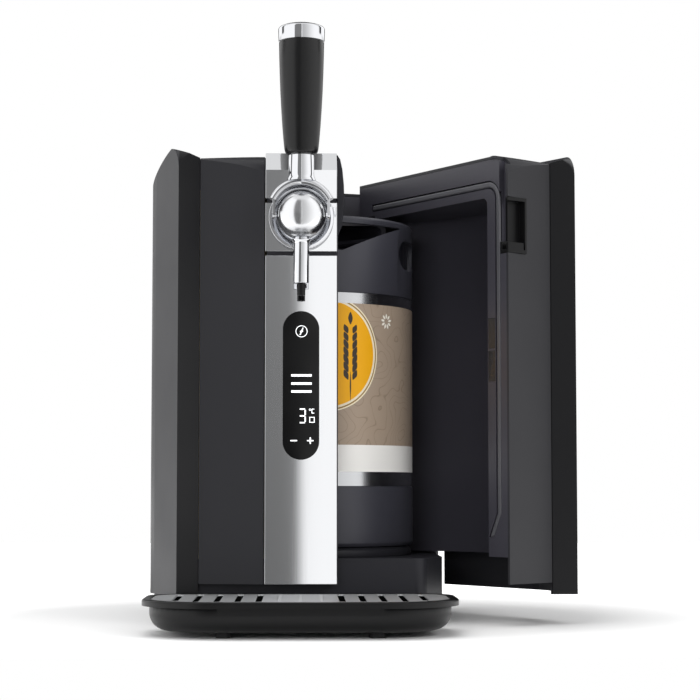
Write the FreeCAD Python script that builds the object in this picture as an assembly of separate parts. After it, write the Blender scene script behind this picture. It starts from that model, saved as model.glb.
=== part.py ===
import FreeCAD, Part
import math
import os

# Mini keg beer dispenser, millimetres, +Z up.
# Origin: on the axis of the keg, at the level of the table. Front faces -Y, +X is to the right.
V = FreeCAD.Vector

# ---- driving dimensions: keg and its room ----
KEG_R = 101.0
KEG_BASE_H = 52.0       # plastic ring round the keg's foot
KEG_SHELL_H = 167.5     # bare barrel above it
KEG_COLLAR_H = 66.5     # plastic crown
KEG_WALL = 1.2
COLLAR_WALL = 4.0
FOOT_IN = 9.0           # the barrel's foot is this much narrower
LABEL_LOW_GAP = 12.5    # label above the base ring
LABEL_TOP_GAP = 9.5     # label below the crown
DOME_H = 20.0           # the barrel's top rises this far into the crown
SEAT_H = 9.0            # keg's foot above the plinth
SEAT_GAP = 0.3
SEAT_EDGE = 2.0         # seat ring ends this far inside the keg's side
SEAT_W = 37.0
ROOM_GAP = 3.5          # air between keg and liner
HEADROOM = 13.0         # air above the keg
LINER = 3.0
VALVE_R = 16.0
HAND_UP = 38.0          # hand holes above the crown's foot
HAND_H = 26.0
HAND_FRONT = -52.0      # from here
HAND_BACK = 4.0         # to here along the keg's side

# ---- driving dimensions: body ----
SKIN = 2.5
SIDE_FOAM = 21.0        # foam between liner and side skin at its thinnest
FRONT_DEPTH = 20.5      # from the liner to the front panels
BAY_GAP = 10.5          # from the liner to the machinery bay
BACK_AIR = 8.5          # fan to the back's outer face
ROOF = 32.0             # ceiling to the top
RIDGE_IN = 27.3         # front ridge of the wing, in from the side
RIDGE_PROUD = 4.5       # and in front of the front panel
CHAMFER_W = 17.8        # chamfer between front panel and ridge
PANEL_DIP = 8.0         # how far the panel falls back to the chamfer
FLARE_D = 61.0          # the wing reaches the full width this far back
FRONT_R = 20.0          # rounding of the top's front edge
TOP_R = 15.0            # rounding of its rear edge
PEAK_UP = 6.0           # crest of the wing above the flat top
PEAK_IN = 20.0          # and in from the side
VALLEY_DOWN = 2.7       # valley between flat top and wing
SHOULDER = 25.0         # the wing's rounded shoulder, from its crest down
SHOULDER_BULGE = 2.5
REAR_CORNER_R = 14.0
FLARE_R = 60.0
SKIN_BOTTOM = 26.0
PANEL_BOTTOM = 36.0
SEAM = 0.4              # gap between neighbouring skins
LID_INSET = 17.0        # the lid's right edge, in from the side
FRONT_FOLD = 14.5       # the front panels fold back this far on top

# ---- driving dimensions: column and tap ----
COL_HALF = 30.3
COL_PROUD = 3.0
STEEL = 1.2
COL_WRAP = 14.0         # depth of the folded sides
COL_GAP = 3.5
MIDDLE_H = 41.7
BALL_BELOW_TOP = 56.0   # ball's centre below the body's top
BALL_TO_FASCIA = 31.4   # ball's centre above the fascia's top edge
COL_OVER = 1.3          # column's head above the body's top
COL_SLOPE_H = 15.7
COL_SLOPE_RUN = 9.0
PILL_W = 31.0
PILL_H = 125.5
PILL_DOWN = 47.1        # pill below the fascia's top edge
PILL_T = 2.0
BALL_R = 21.0
BALL_OUT = 28.0         # ball centre in front of the panels' edge
BALL_WALL = 3.5
NECK_R = 13.0
NECK_WALL = 1.3
COLLAR_OUT = 27.5
COLLAR_D = 8.0
SPOUT_R = 6.6
SPOUT_LENGTH = 36.8     # below the ball
NOZZLE_LENGTH = 10.0    # below the spout
HOSE_R = 3.45
HOSE_BORE = 2.3
HOSE_DOWN = 8.0         # hose below the ball's centre
HOSE_BEND = 14.0
SHAFT_R = 2.5
RUN = 0.05              # radial running clearance
PIVOT_EAR_X = 21.6
EAR_T = 2.6
ARCH_IN = 22.2
ARCH_OUT = 30.0
ARCH_LOW = 10.0         # the arch ends this far above the shaft
ARCH_D = 15.0
STEM_R = 10.6
STEM_UP = 51.3          # stem's end above the ball's centre
STUD_R = 4.0
GRIP_R_LOW = 13.8
GRIP_R_HIGH = 19.0
GRIP_OVER_STEM = 2.0
GRIP_LENGTH = 95.7
CAP_LENGTH = 16.2
CHEEK_BACK = 4.0
CHEEK_D = 5.9
CHEEK_SWING = 1.6       # more room behind it, for the door's swing
CHEEK_H = 72.0
CHEEK_W = 6.2

# ---- driving dimensions: door ----
HINGE_Y = 95.0
ROOM_END_DEG = 41.5     # the door's half of the room ends at this angle
POST_R = 13.0
CAP_H = 18.0            # the lid's round cap over the post
DOOR_OPEN_DEG = 35.0
DOOR_END = 16.0         # the door stays this far from the hinge axis
SPLIT_GAP = 0.8         # parting line beside the column
SPLIT_LEAN = 9.0        # its rear end is this much further right
KNUCKLE_R = 12.4
KNUCKLE_H = 45.0
KNUCKLE_UP = 32.0       # lower knuckle above the plinth
KNUCKLE_DOWN = 67.0     # upper knuckle below the top
PIN_R = 2.5
PIN_OVER = 7.0
MOVE = 0.5              # clearance between moving pieces
SEAL_D = 2.0            # depth of the seal and of the catch in the rim
SEAL_W = 5.0
SEAL_R = 16.0           # seal's upper corner
SEAL_GROOVE = 1.0       # groove beside it
SEAL_FRONT = 12.0       # seal starts this far from the door's front
SEAL_REAR = 6.0         # and ends this far from its rear
SEAL_UP = 38.0          # lower bend above the plinth
SEAL_DOWN = 21.5        # seal below the top
SEAL_TOE = (10.5, 20.0) # its lower end: further in, and lower
CATCH_FRONT = 18.5
CATCH_W = 9.5
CATCH_UP = 150.0        # catch above the plinth
CATCH_H = 26.0          # each of its two plates
CATCH_GAP = 2.0
PULL_W = 22.0
PULL_D = 10.5
PULL_H = 48.0
PULL_DOWN = 37.0        # finger pull below the top

# ---- driving dimensions: base ----
PLINTH_TOP = 57.0
PLINTH_IN = 8.0         # plinth's right side, in from the door's skin
PLINTH_BACK = 16.0      # plinth's front behind the front panels
PLINTH_CORNER = 12.0
PLINTH_WALL = 3.0
PLATE_BOTTOM = 8.0
PLATE_T = 2.0
FOOT_W = 9.0
FOOT_SIDE = 16.0        # rubber ring, in from the plinth's side
FOOT_AHEAD = 14.0       # and behind its front
FOOT_BACK = 20.0        # and in front of the back
FOOT_CORNER = 20.0

# ---- driving dimensions: tray ----
TRAY_IN = 5.0           # tray's end, in from the body's side
TRAY_GAP = 8.5          # tray in front of the front panels
TRAY_D = 135.5
TRAY_RIM_Z = 29.0
TRAY_RIM_T = 5.0
TRAY_BOTTOM = 4.5
TRAY_WALL = 2.5
TRAY_CURVE = 14.0       # rounding under the bowl
TRAY_END_R = 62.0
TRAY_REAR_R = 30.0
RIM_W = 7.0
RIM_IN = 6.0
RIM_LEDGE = 4.0
GRILLE_T = 1.2
GRILLE_FIT = 0.4
SLOT_W = 5.2
SLOT_PITCH = 16.4
HOLE_R = 1.9
HOLES = 8
TONGUE_X = 70.0
TONGUE_W = 16.0
TONGUE_H = 5.0
TONGUE_Z = 15.0
TONGUE_GAP = 1.0
TRAY_FOOT_X = 60.0
TRAY_FOOT_R = 6.0

# ---- driving dimensions: rear bay ----
CHILL_UP = 143.0        # cooling unit's centre above the plinth
MODULE = 40.0
MODULE_T = 4.0
SINK = 96.0
SINK_BASE = 5.0
FIN_H = 18.0
FIN_T = 1.2
FINS = 14
FAN = 92.0
FAN_T = 18.0
FAN_R = 42.0
FAN_GAP = 0.5
HUB_R = 15.0
BLADES = 7
COLD_HALF = 55.0        # cold plate behind the keg
COLD_MARGIN = 6.0
SUPPLY_W = 56.0
SUPPLY_H = 98.0
SUPPLY_UP = 35.0
SUPPLY_SIDE = 13.0
BOARD_W = 165.0
BOARD_H = 65.0
BOARD_DOWN = 46.0
BOARD_SIDE = 26.0
PUMP_IN = 49.0
PUMP_BACK = 24.0        # pump's axis behind the bay's front
PUMP_R = 15.0
PUMP_HEAD = 32.0
PUMP_UP = 21.0
PUMP_H = 58.0
AIR_UP = 14.0           # air line over the room's ceiling
AIR_R = 2.5
INLET_UP = 17.0
INLET_W = 48.0
INLET_H = 20.0
SWITCH_IN = 27.0        # switch, in from the left side
SWITCH_TO_INLET = 42.0
ROCKER_TIP = 8.0        # the key rests tipped to one side

# ---- values that follow from the ones above ----
ROOM_R = KEG_R + ROOM_GAP
WALL_R = ROOM_R + LINER
HALF_W = WALL_R + SIDE_FOAM + SKIN
RIDGE_X = HALF_W - RIDGE_IN
PANEL_DIP_X = RIDGE_X - CHAMFER_W
PANEL_Y = -WALL_R - FRONT_DEPTH
RIDGE_Y = PANEL_Y - RIDGE_PROUD
FLARE_Y = PANEL_Y + FLARE_D
DIP_Y = PANEL_Y + PANEL_DIP
BAY_Y = WALL_R + BAY_GAP
FAN_Y = BAY_Y + MODULE_T + SINK_BASE + FIN_H + FAN_GAP
REAR_Y = FAN_Y + FAN_T + BACK_AIR
KEG_BOTTOM = PLINTH_TOP + SEAT_H
KEG_BASE_TOP = KEG_BOTTOM + KEG_BASE_H
KEG_SHELL_TOP = KEG_BASE_TOP + KEG_SHELL_H
KEG_TOP = KEG_SHELL_TOP + KEG_COLLAR_H
ROOM_TOP = KEG_TOP + HEADROOM
LID_Z = ROOM_TOP + LINER
TOP_Z = LID_Z + ROOF
CREST_Z = TOP_Z + PEAK_UP
ABOVE = CREST_Z + 20    # over the body, for cutting tools
SEAT_TOP = KEG_BOTTOM - SEAT_GAP
SEAT_OUT = KEG_R - SEAT_EDGE
SEAT_IN = SEAT_OUT - SEAT_W
COL_FACE = PANEL_Y - COL_PROUD
COL_BACK = -WALL_R - 0.3
COL_BOTTOM = PANEL_BOTTOM
BALL_Y = PANEL_Y - BALL_OUT
BALL_Z = TOP_Z - BALL_BELOW_TOP
LOWER_TOP = BALL_Z - BALL_TO_FASCIA
MIDDLE_TOP = LOWER_TOP + COL_GAP + MIDDLE_H
COL_TOP = TOP_Z + COL_OVER
COL_SLOPE_Z = COL_TOP - COL_SLOPE_H
PILL_HIGH = LOWER_TOP - PILL_DOWN
PILL_LOW = PILL_HIGH - PILL_H
HOSE_Z = BALL_Z - HOSE_DOWN
SPOUT_BOTTOM = BALL_Z - BALL_R - SPOUT_LENGTH
NOZZLE_Z = SPOUT_BOTTOM - NOZZLE_LENGTH
STEM_TOP = BALL_Z + STEM_UP
GRIP_LOW = STEM_TOP - GRIP_OVER_STEM
GRIP_HIGH = GRIP_LOW + GRIP_LENGTH
CAP_TOP = GRIP_HIGH + CAP_LENGTH
HINGE_X = HALF_W - POST_R
PEAK_X = HALF_W - PEAK_IN
SPLIT_X = COL_HALF + SPLIT_GAP
SPLIT_REAR_X = SPLIT_X + SPLIT_LEAN
DOOR_BACK = HINGE_Y - DOOR_END
LOW_KNUCKLE = (PLINTH_TOP + KNUCKLE_UP, PLINTH_TOP + KNUCKLE_UP + KNUCKLE_H)
HIGH_KNUCKLE = (TOP_Z - KNUCKLE_DOWN - KNUCKLE_H, TOP_Z - KNUCKLE_DOWN)
SEAL_LOW = PLINTH_TOP + SEAL_UP
SEAL_TOP = TOP_Z - SEAL_DOWN
CATCH_LOW = PLINTH_TOP + CATCH_UP
PULL_HIGH = TOP_Z - PULL_DOWN
PULL_LOW = PULL_HIGH - PULL_H
PLINTH_HALF = HALF_W - PLINTH_IN
PLINTH_FRONT = PANEL_Y + PLINTH_BACK
PLATE_TOP = PLATE_BOTTOM + PLATE_T
FOOT_HALF = PLINTH_HALF - FOOT_SIDE
FOOT_FRONT = PLINTH_FRONT + FOOT_AHEAD
FOOT_REAR = REAR_Y - FOOT_BACK
TRAY_HALF = HALF_W - TRAY_IN
TRAY_REAR = PANEL_Y - TRAY_GAP
TRAY_FRONT = TRAY_REAR - TRAY_D
CHILL_Z = PLINTH_TOP + CHILL_UP
COLD_LOW = KEG_BASE_TOP - COLD_MARGIN
COLD_HIGH = KEG_SHELL_TOP + COLD_MARGIN - 2.0
PUMP_X = HALF_W - PUMP_IN
PUMP_Y = BAY_Y + PUMP_BACK
PUMP_LOW = PLINTH_TOP + PUMP_UP
PUMP_TOP = PUMP_LOW + PUMP_H
AIR_Z = LID_Z + AIR_UP
ROCKER_X = -HALF_W + SWITCH_IN
INLET_X = ROCKER_X + SWITCH_TO_INLET
INLET_Z = PLINTH_TOP + INLET_UP
FAR = HALF_W + REAR_Y   # beyond the body, for cutting tools


# ---- small helpers ----
def box(x0, x1, y0, y1, z0, z1):
    return Part.makeBox(x1 - x0, y1 - y0, z1 - z0, V(x0, y0, z0))


def cyl(r, p, axis, length):
    return Part.makeCylinder(r, length, V(*p), V(*axis))


def upright(r, x, y, z0, z1):
    return cyl(r, (x, y, z0), (0, 0, 1), z1 - z0)


def prism(points, z0, z1):
    ring = [V(x, y, z0) for x, y in points]
    return Part.Face(Part.makePolygon(ring + ring[:1])).extrude(V(0, 0, z1 - z0))


def turned(profile):
    """Solid turned about the keg's axis from (radius, z) points."""
    ring = [V(r, 0, z) for r, z in profile]
    return Part.Face(Part.makePolygon(ring + ring[:1])).revolve(V(), V(0, 0, 1), 360)


def vertical_edges(shape, places, tol=1.0):
    found = []
    for edge in shape.Edges:
        a, b = edge.Vertexes[0].Point, edge.Vertexes[-1].Point
        if abs(a.x - b.x) > 0.01 or abs(a.y - b.y) > 0.01 or abs(a.z - b.z) < 0.01:
            continue
        for x, y in places:
            if abs(a.x - x) < tol and abs(a.y - y) < tol:
                found.append(edge)
    return found


def one(shape):
    """The solid itself, or a compound of its solids, cleaned of split faces."""
    clean = shape.removeSplitter()
    if len(clean.Solids) == 1:
        return clean.Solids[0]
    return Part.makeCompound(clean.Solids)


def fuse(parts):
    whole = parts[0]
    for part in parts[1:]:
        whole = whole.fuse(part)
    return one(whole)


def largest(shape):
    return sorted(shape.Solids, key=lambda solid: solid.Volume)[-1]


NODES = {}


def node(name, shape):
    NODES[name] = one(shape)
    return NODES[name]


def door_node(name, shape):
    """Door pieces are drawn shut and then swung to the rest position."""
    shape = one(shape)
    shape.rotate(V(HINGE_X, HINGE_Y, 0), V(0, 0, 1), DOOR_OPEN_DEG)
    return node(name, shape)


# ---- body envelope ----
def outline(inset):
    """Plan of the closed body, both halves, moved inwards by inset."""
    half = [
        (PANEL_DIP_X, DIP_Y),
        (RIDGE_X, RIDGE_Y),
        (HALF_W, FLARE_Y),
        (HALF_W, REAR_Y),
    ]
    right = [(SPLIT_X, PANEL_Y)] + half
    left = [(-x, y) for x, y in reversed(right)]
    ring = [V(x, y, 0) for x, y in right + left]
    wire = Part.makePolygon(ring + ring[:1])
    if inset:
        wire = wire.makeOffset2D(-inset, 2)
    return wire


def envelope(inset, z0):
    """Body block with rounded rear corners and flares under its shaped top."""
    wire = outline(inset)
    wire.translate(V(0, 0, z0))
    block = Part.Face(wire).extrude(V(0, 0, ABOVE - z0))
    side = HALF_W - inset
    rear = vertical_edges(block, [(side, REAR_Y - inset), (-side, REAR_Y - inset)])
    block = block.makeFillet(REAR_CORNER_R - inset, rear)
    flare = vertical_edges(block, [(side, FLARE_Y), (-side, FLARE_Y)], 3.0)
    block = block.makeFillet(FLARE_R - inset, flare)
    return block.common(roof(inset)).common(sides(inset))


def face(edges):
    return Part.Face(Part.Wire(edges))


def line(a, b):
    return Part.LineSegment(a, b).toShape()


def roof(inset):
    """The top seen from the front: flat in the middle, a valley, the wing's crest and shoulder."""
    crest = V(PEAK_X - 0.3 * inset, -FAR, CREST_Z - inset)
    foot = V(HALF_W - inset, -FAR, CREST_Z - SHOULDER - 0.3 * inset)
    run, fall = PEAK_IN, SHOULDER
    length = math.hypot(run, fall)
    bulge = (SHOULDER_BULGE - inset) / length
    middle = V(HALF_W - run / 2 + fall * bulge, -FAR, CREST_Z - fall / 2 + run * bulge)
    half = [V(0, -FAR, 0), V(HALF_W - inset, -FAR, 0), foot]
    rest = [crest, V(PANEL_DIP_X, -FAR, TOP_Z - VALLEY_DOWN - inset), V(COL_HALF, -FAR, TOP_Z - inset),
            V(0, -FAR, TOP_Z - inset), V(0, -FAR, 0)]
    edges = [line(a, b) for a, b in zip(half, half[1:])] + [Part.Arc(foot, middle, crest).toShape()]
    edges += [line(a, b) for a, b in zip(rest, rest[1:])]
    right = face(edges).extrude(V(0, 2 * FAR, 0))
    return right.fuse(right.mirror(V(), V(1, 0, 0)))


def side_view(x0, x1, front, top, inset):
    """Block with rounded front and rear top edges between x0 and x1."""
    r, q = FRONT_R - inset, TOP_R - inset
    y0, y1, z1 = front + inset, REAR_Y - inset, top - inset
    turn = math.sqrt(0.5)
    a, b = V(x0, y0, z1 - r), V(x0, y0 + r, z1)
    c, d = V(x0, y1 - q, z1), V(x0, y1, z1 - q)
    front_arc = Part.Arc(a, V(x0, y0 + r - r * turn, z1 - r + r * turn), b).toShape()
    rear_arc = Part.Arc(c, V(x0, y1 - q + q * turn, z1 - q + q * turn), d).toShape()
    low, back = V(x0, y0, 0), V(x0, y1, 0)
    edges = [line(low, a), front_arc, line(b, c), rear_arc, line(d, back), line(back, low)]
    return face(edges).extrude(V(x1 - x0, 0, 0))


def sides(inset):
    """The body seen from the side: the wings stand a little in front of the panels."""
    middle = side_view(-PANEL_DIP_X, PANEL_DIP_X, PANEL_Y, TOP_Z, inset)
    right = side_view(PANEL_DIP_X, FAR, RIDGE_Y, CREST_Z, inset)
    left = side_view(-FAR, -PANEL_DIP_X, RIDGE_Y, CREST_Z, inset)
    return fuse([middle, right, left])


def door_zone(z0, z1, inset=0.0):
    """Everything right of the parting line, moved to the door's side by inset.

    Over the keg's room it reaches back to the hinge axis; beside the room it ends earlier, so that the
    door's rear edge clears the keg when it swings.
    """
    back = HINGE_Y - MOVE - inset
    points = [
        (SPLIT_X + inset, -FAR),
        (SPLIT_X + inset, PANEL_Y),
        (SPLIT_REAR_X + inset, back),
        (HINGE_X, back),
        (HINGE_X, DOOR_BACK - inset),
        (FAR, DOOR_BACK - inset),
        (FAR, -FAR),
    ]
    zone = prism(points, z0, z1).cut(upright(DOOR_END + inset, HINGE_X, HINGE_Y, z0 - 1, z1 + 1))
    if z0 < LID_Z:
        zone = zone.cut(rear_zone(z0, LID_Z + MOVE + inset, -inset))
    return zone


def rear_zone(z0, z1, inset=0.0):
    """Behind the door's rear wall, beside the keg's room."""
    angle = math.radians(ROOM_END_DEG)
    x, y = (WALL_R) * math.cos(angle), (WALL_R) * math.sin(angle)
    points = [
        (0, y - 3 + inset),
        (x, y + inset),
        (HINGE_X - POST_R - 4, DOOR_BACK + inset),
        (FAR, DOOR_BACK + inset),
        (FAR, FAR),
        (0, FAR),
    ]
    return prism(points, z0, z1)


def room(gap, z0, z1):
    """The keg's room, with a rounded edge under its ceiling."""
    body = upright(ROOM_R + gap, 0, 0, z0, z1)
    top = [e for e in body.Edges if e.Length > 10 and abs(e.BoundBox.ZMin - z1) < 0.01]
    return body.makeFillet(6.0, top)


OUTER = envelope(0.0, SKIN_BOTTOM)
INNER = envelope(SKIN, SKIN_BOTTOM - 1)
SHELL = OUTER.cut(INNER)


# ---- fixed body ----
def front_zone(low, high, grow=0.0):
    """Depth of the front panels with their fold on top."""
    half = PANEL_DIP_X + grow
    return box(-half, half, RIDGE_Y - 5, DIP_Y + FRONT_FOLD + grow, low, high)


def lid_zone(grow=0.0):
    """Top from valley to hinge, between the front panels' fold and the rear cover."""
    low, high = TOP_Z - SKIN - VALLEY_DOWN - 1, ABOVE
    front, rear = DIP_Y + FRONT_FOLD + SEAM - grow, REAR_Y - REAR_CORNER_R + grow
    return box(-PANEL_DIP_X - grow, HALF_W - LID_INSET + grow, front, rear, low, high)


def left_front_panel():
    zone = front_zone(PANEL_BOTTOM, ABOVE).common(box(-HALF_W, -SPLIT_X, -FAR, 0, 0, ABOVE))
    return SHELL.common(zone)


def left_side_shell():
    zone = box(-HALF_W - 5, -COL_HALF - 2, RIDGE_Y - 5, REAR_Y - REAR_CORNER_R, 0, ABOVE)
    return SHELL.common(zone).cut(front_zone(0, ABOVE, SEAM)).cut(lid_zone(SEAM))


def right_rear_shell():
    zone = box(HALF_W - LID_INSET, HALF_W + 5, HINGE_Y, REAR_Y - REAR_CORNER_R, 0, ABOVE)
    clear = upright(POST_R + 0.2, HINGE_X, HINGE_Y, 0, TOP_Z - CAP_H)
    return SHELL.common(zone).cut(clear).cut(lid_zone(SEAM))


def top_cover():
    """Flat lid of the fixed body, with a round end over the hinge post."""
    cover = SHELL.common(lid_zone())
    cap = upright(DOOR_END - MOVE, HINGE_X, HINGE_Y, TOP_Z - CAP_H, ABOVE).common(OUTER)
    corner = box(HINGE_X - 40, HALF_W + 5, 0, HINGE_Y, 0, ABOVE)
    cover = cover.cut(door_zone(0, ABOVE, -SEAM)).cut(corner)
    ahead = cap.common(box(0, HALF_W + 5, 0, HINGE_Y - SEAM, 0, ABOVE))
    join = cap.common(box(0, HALF_W - LID_INSET, 0, HINGE_Y + 4, 0, ABOVE))
    return fuse([cover, ahead, join])


def back_cover():
    zone = box(-HALF_W - 5, HALF_W + 5, REAR_Y - REAR_CORNER_R + SEAM, REAR_Y + 5, 0, ABOVE)
    cover = SHELL.common(zone).cut(lid_zone(SEAM))
    cuts = []
    for i in range(9):
        z = CHILL_Z - 40 + 10 * i
        cuts.append(box(-42, 42, REAR_Y - 2 * SKIN, REAR_Y + 1, z - 2.5, z + 2.5))
    for i in range(7):
        z = CHILL_Z + 80 + 10 * i
        cuts.append(box(-70, 70, REAR_Y - 2 * SKIN, REAR_Y + 1, z - 2, z + 2))
    half, up = INLET_W / 2 + SEAM, INLET_H / 2 + SEAM
    cuts.append(box(INLET_X - half, INLET_X + half, REAR_Y - 5, REAR_Y + 1, INLET_Z - up, INLET_Z + up))
    cuts.append(box(ROCKER_X - 10, ROCKER_X + 10, REAR_Y - 5, REAR_Y + 1, INLET_Z - 14, INLET_Z + 14))
    return cover.cut(Part.makeCompound(cuts))


def base_pan():
    """Plinth under the keg: wide on the left, set back inside the door on the right."""
    left = -HALF_W + SKIN
    slope = (HALF_W - RIDGE_X) / (FLARE_Y - RIDGE_Y)
    front_left = -(RIDGE_X + (PLINTH_FRONT - RIDGE_Y) * slope) + SKIN + 3.0
    front_right = RIDGE_X + (PLINTH_FRONT - RIDGE_Y) * slope - SKIN - 5.0
    side_front = PLINTH_FRONT + (PLINTH_HALF - front_right) / slope
    points = [
        (front_left, PLINTH_FRONT),
        (front_right, PLINTH_FRONT),
        (PLINTH_HALF, side_front),
        (PLINTH_HALF, DOOR_BACK),
        (PLINTH_HALF, REAR_Y - REAR_CORNER_R),
        (PLINTH_HALF - 10, REAR_Y - SKIN),
        (left + 12, REAR_Y - SKIN),
        (left, REAR_Y - REAR_CORNER_R),
        (left, FLARE_Y + 25),
    ]
    block = prism(points, PLATE_TOP, PLINTH_TOP)
    corner = vertical_edges(block, [(front_right, PLINTH_FRONT), (PLINTH_HALF, side_front)])
    block = block.makeFillet(PLINTH_CORNER, corner)
    ear = upright(POST_R, HINGE_X, HINGE_Y, SKIN_BOTTOM, PLINTH_TOP)
    block = block.fuse(ear)
    wire = Part.makePolygon([V(x, y, 0) for x, y in points + points[:1]])
    inner = Part.Face(wire.makeOffset2D(-PLINTH_WALL, 2)).extrude(V(0, 0, PLINTH_TOP - PLINTH_WALL))
    block = block.cut(inner)
    half, up = TONGUE_W / 2 + TONGUE_GAP, TONGUE_H / 2 + TONGUE_GAP
    for x in (-TONGUE_X, TONGUE_X):
        front, rear = PLINTH_FRONT - 1, PLINTH_FRONT + PLINTH_WALL + 2
        block = block.cut(box(x - half, x + half, front, rear, TONGUE_Z - up, TONGUE_Z + up))
    return block


def base_plate():
    left = -HALF_W + SKIN + 2
    points = [
        (-PLINTH_HALF + 14, PLINTH_FRONT + 1),
        (PLINTH_HALF - 20, PLINTH_FRONT + 1),
        (PLINTH_HALF - 1, PLINTH_FRONT + 46),
        (PLINTH_HALF - 1, REAR_Y - REAR_CORNER_R - 2),
        (PLINTH_HALF - 12, REAR_Y - SKIN - 1),
        (left + 12, REAR_Y - SKIN - 1),
        (left, REAR_Y - REAR_CORNER_R - 2),
        (left, FLARE_Y + 27),
    ]
    return prism(points, PLATE_BOTTOM, PLATE_TOP)


def foot_ring():
    outer = box(-FOOT_HALF, FOOT_HALF, FOOT_FRONT, FOOT_REAR, 0, PLATE_BOTTOM)
    corners = [(s * FOOT_HALF, y) for s in (-1, 1) for y in (FOOT_FRONT, FOOT_REAR)]
    outer = outer.makeFillet(FOOT_CORNER, vertical_edges(outer, corners))
    half = FOOT_HALF - FOOT_W
    low, high = FOOT_FRONT + FOOT_W, FOOT_REAR - FOOT_W
    inner = box(-half, half, low, high, -1, PLATE_BOTTOM + 1)
    corners = [(s * half, y) for s in (-1, 1) for y in (low, high)]
    inner = inner.makeFillet(FOOT_CORNER - FOOT_W + 1.0, vertical_edges(inner, corners))
    return outer.cut(inner)


def keg_seat_ring():
    return turned([(SEAT_IN, PLINTH_TOP), (SEAT_OUT, PLINTH_TOP), (SEAT_OUT, SEAT_TOP - 3),
                   (SEAT_OUT - 3, SEAT_TOP), (SEAT_IN, SEAT_TOP)])


def liner_edge():
    """Edge of the liner along the parting line, over the foam that the open door would show."""
    band = envelope(SKIN + 0.3, PLINTH_TOP)
    band = band.common(door_zone(0, ABOVE, -MOVE - LINER)).cut(door_zone(0, ABOVE, -MOVE))
    band = band.cut(room(0.0, 0, ROOM_TOP))
    band = band.cut(box(-HALF_W, FAR, -FAR, COL_BACK + 0.3, 0, TOP_Z))
    band = band.cut(box(0, FAR, 0, FAR, 0, ROOM_TOP - MOVE))
    return band.cut(upright(DOOR_END + MOVE, HINGE_X, HINGE_Y, 0, ABOVE))


def compartment_liner():
    """Fixed half of the keg's room: wall, ceiling, edge, and the window for the cold plate."""
    wall = room(LINER, PLINTH_TOP, LID_Z).cut(room(0.0, PLINTH_TOP - 1, ROOM_TOP))
    wall = wall.cut(door_zone(0, TOP_Z, -MOVE))
    wall = largest(wall.fuse(liner_edge()))
    wall = wall.cut(cold_window(MOVE / 2))
    wall = wall.cut(cyl(HOSE_R + 1.5, (0, -ROOM_R + 10, HOSE_Z), (0, -1, 0), 30))
    return wall.cut(upright(AIR_R + 1, 0, 0, ROOM_TOP - 1, LID_Z + 1))


def cold_window(gap):
    half = COLD_HALF + gap
    return box(-half, half, COLD_HALF, BAY_Y, COLD_LOW - gap, COLD_HIGH + gap)


def cold_plate():
    ring = upright(WALL_R, 0, 0, COLD_LOW, COLD_HIGH).cut(upright(ROOM_R, 0, 0, COLD_LOW - 1, COLD_HIGH + 1))
    return ring.common(cold_window(0.0))


def insulation():
    """Foam round the fixed half of the room, in front of the machinery bay."""
    block = envelope(SKIN + 0.3, PLINTH_TOP)
    block = block.common(box(-HALF_W, HALF_W, -FAR, BAY_Y, 0, LID_Z + 2))
    block = block.cut(room(LINER + 0.2, 0, LID_Z + 0.2))
    block = block.cut(upright(2 * VALVE_R, 0, 0, ROOM_TOP - 5, TOP_Z))
    block = block.cut(box(-COL_HALF - 1, COL_HALF + 8, -FAR, -ROOM_R - 0.1, 0, TOP_Z))
    block = block.cut(door_zone(0, ABOVE, -2 * MOVE - LINER - 0.2))
    block = block.cut(box(HINGE_X - POST_R - 5, HALF_W + 1, DOOR_BACK - 8, BAY_Y + 1, 0, TOP_Z))
    half = MODULE / 2 + 6
    block = block.cut(box(-half, half, ROOM_R, BAY_Y + 1, CHILL_Z - half, CHILL_Z + half))
    block = block.cut(box(-AIR_R - 1, AIR_R + 1, -6, BAY_Y + 1, LID_Z, TOP_Z))
    return largest(block)


def hinge_post():
    """Round post on the plinth's ear, notched for the door's two knuckles."""
    post = upright(POST_R, HINGE_X, HINGE_Y, PLINTH_TOP, TOP_Z - CAP_H - 0.3)
    strip = rear_zone(PLINTH_TOP, LID_Z, 2 * MOVE).cut(rear_zone(0, TOP_Z, 2 * MOVE + LINER))
    strip = strip.common(box(SPLIT_REAR_X, HINGE_X, 0, HINGE_Y, 0, ROOM_TOP - 2 * MOVE))
    strip = strip.cut(upright(WALL_R + 0.1, 0, 0, 0, TOP_Z))
    back = box(HINGE_X - 4, HINGE_X + 4, HINGE_Y + 6, HINGE_Y + 19, PLINTH_TOP, ROOM_TOP - 8)
    post = post.fuse(strip).fuse(back)
    for low, high in (LOW_KNUCKLE, HIGH_KNUCKLE):
        gap = upright(POST_R + 3.2, HINGE_X, HINGE_Y, low - MOVE, high + MOVE)
        reach = box(HINGE_X - 11, HINGE_X + 3, DOOR_BACK - 20, HINGE_Y, low - MOVE, high + MOVE)
        post = post.cut(gap).cut(reach)
        post = post.cut(upright(PIN_R, HINGE_X, HINGE_Y, low - PIN_OVER, high + PIN_OVER))
    return post


def hinge_pins():
    pins = []
    for low, high in (LOW_KNUCKLE, HIGH_KNUCKLE):
        pins.append(upright(PIN_R, HINGE_X, HINGE_Y, low - PIN_OVER, high + PIN_OVER))
    return Part.makeCompound(pins)


# ---- column and tap ----
def wrap(z0, z1):
    """Sheet steel plate with both sides folded back."""
    outer = box(-COL_HALF, COL_HALF, COL_FACE, COL_FACE + COL_WRAP, z0, z1)
    half = COL_HALF - STEEL
    inner = box(-half, half, COL_FACE + STEEL, COL_FACE + COL_WRAP + 1, z0 - 1, z1 + 1)
    return outer.cut(inner)


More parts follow.
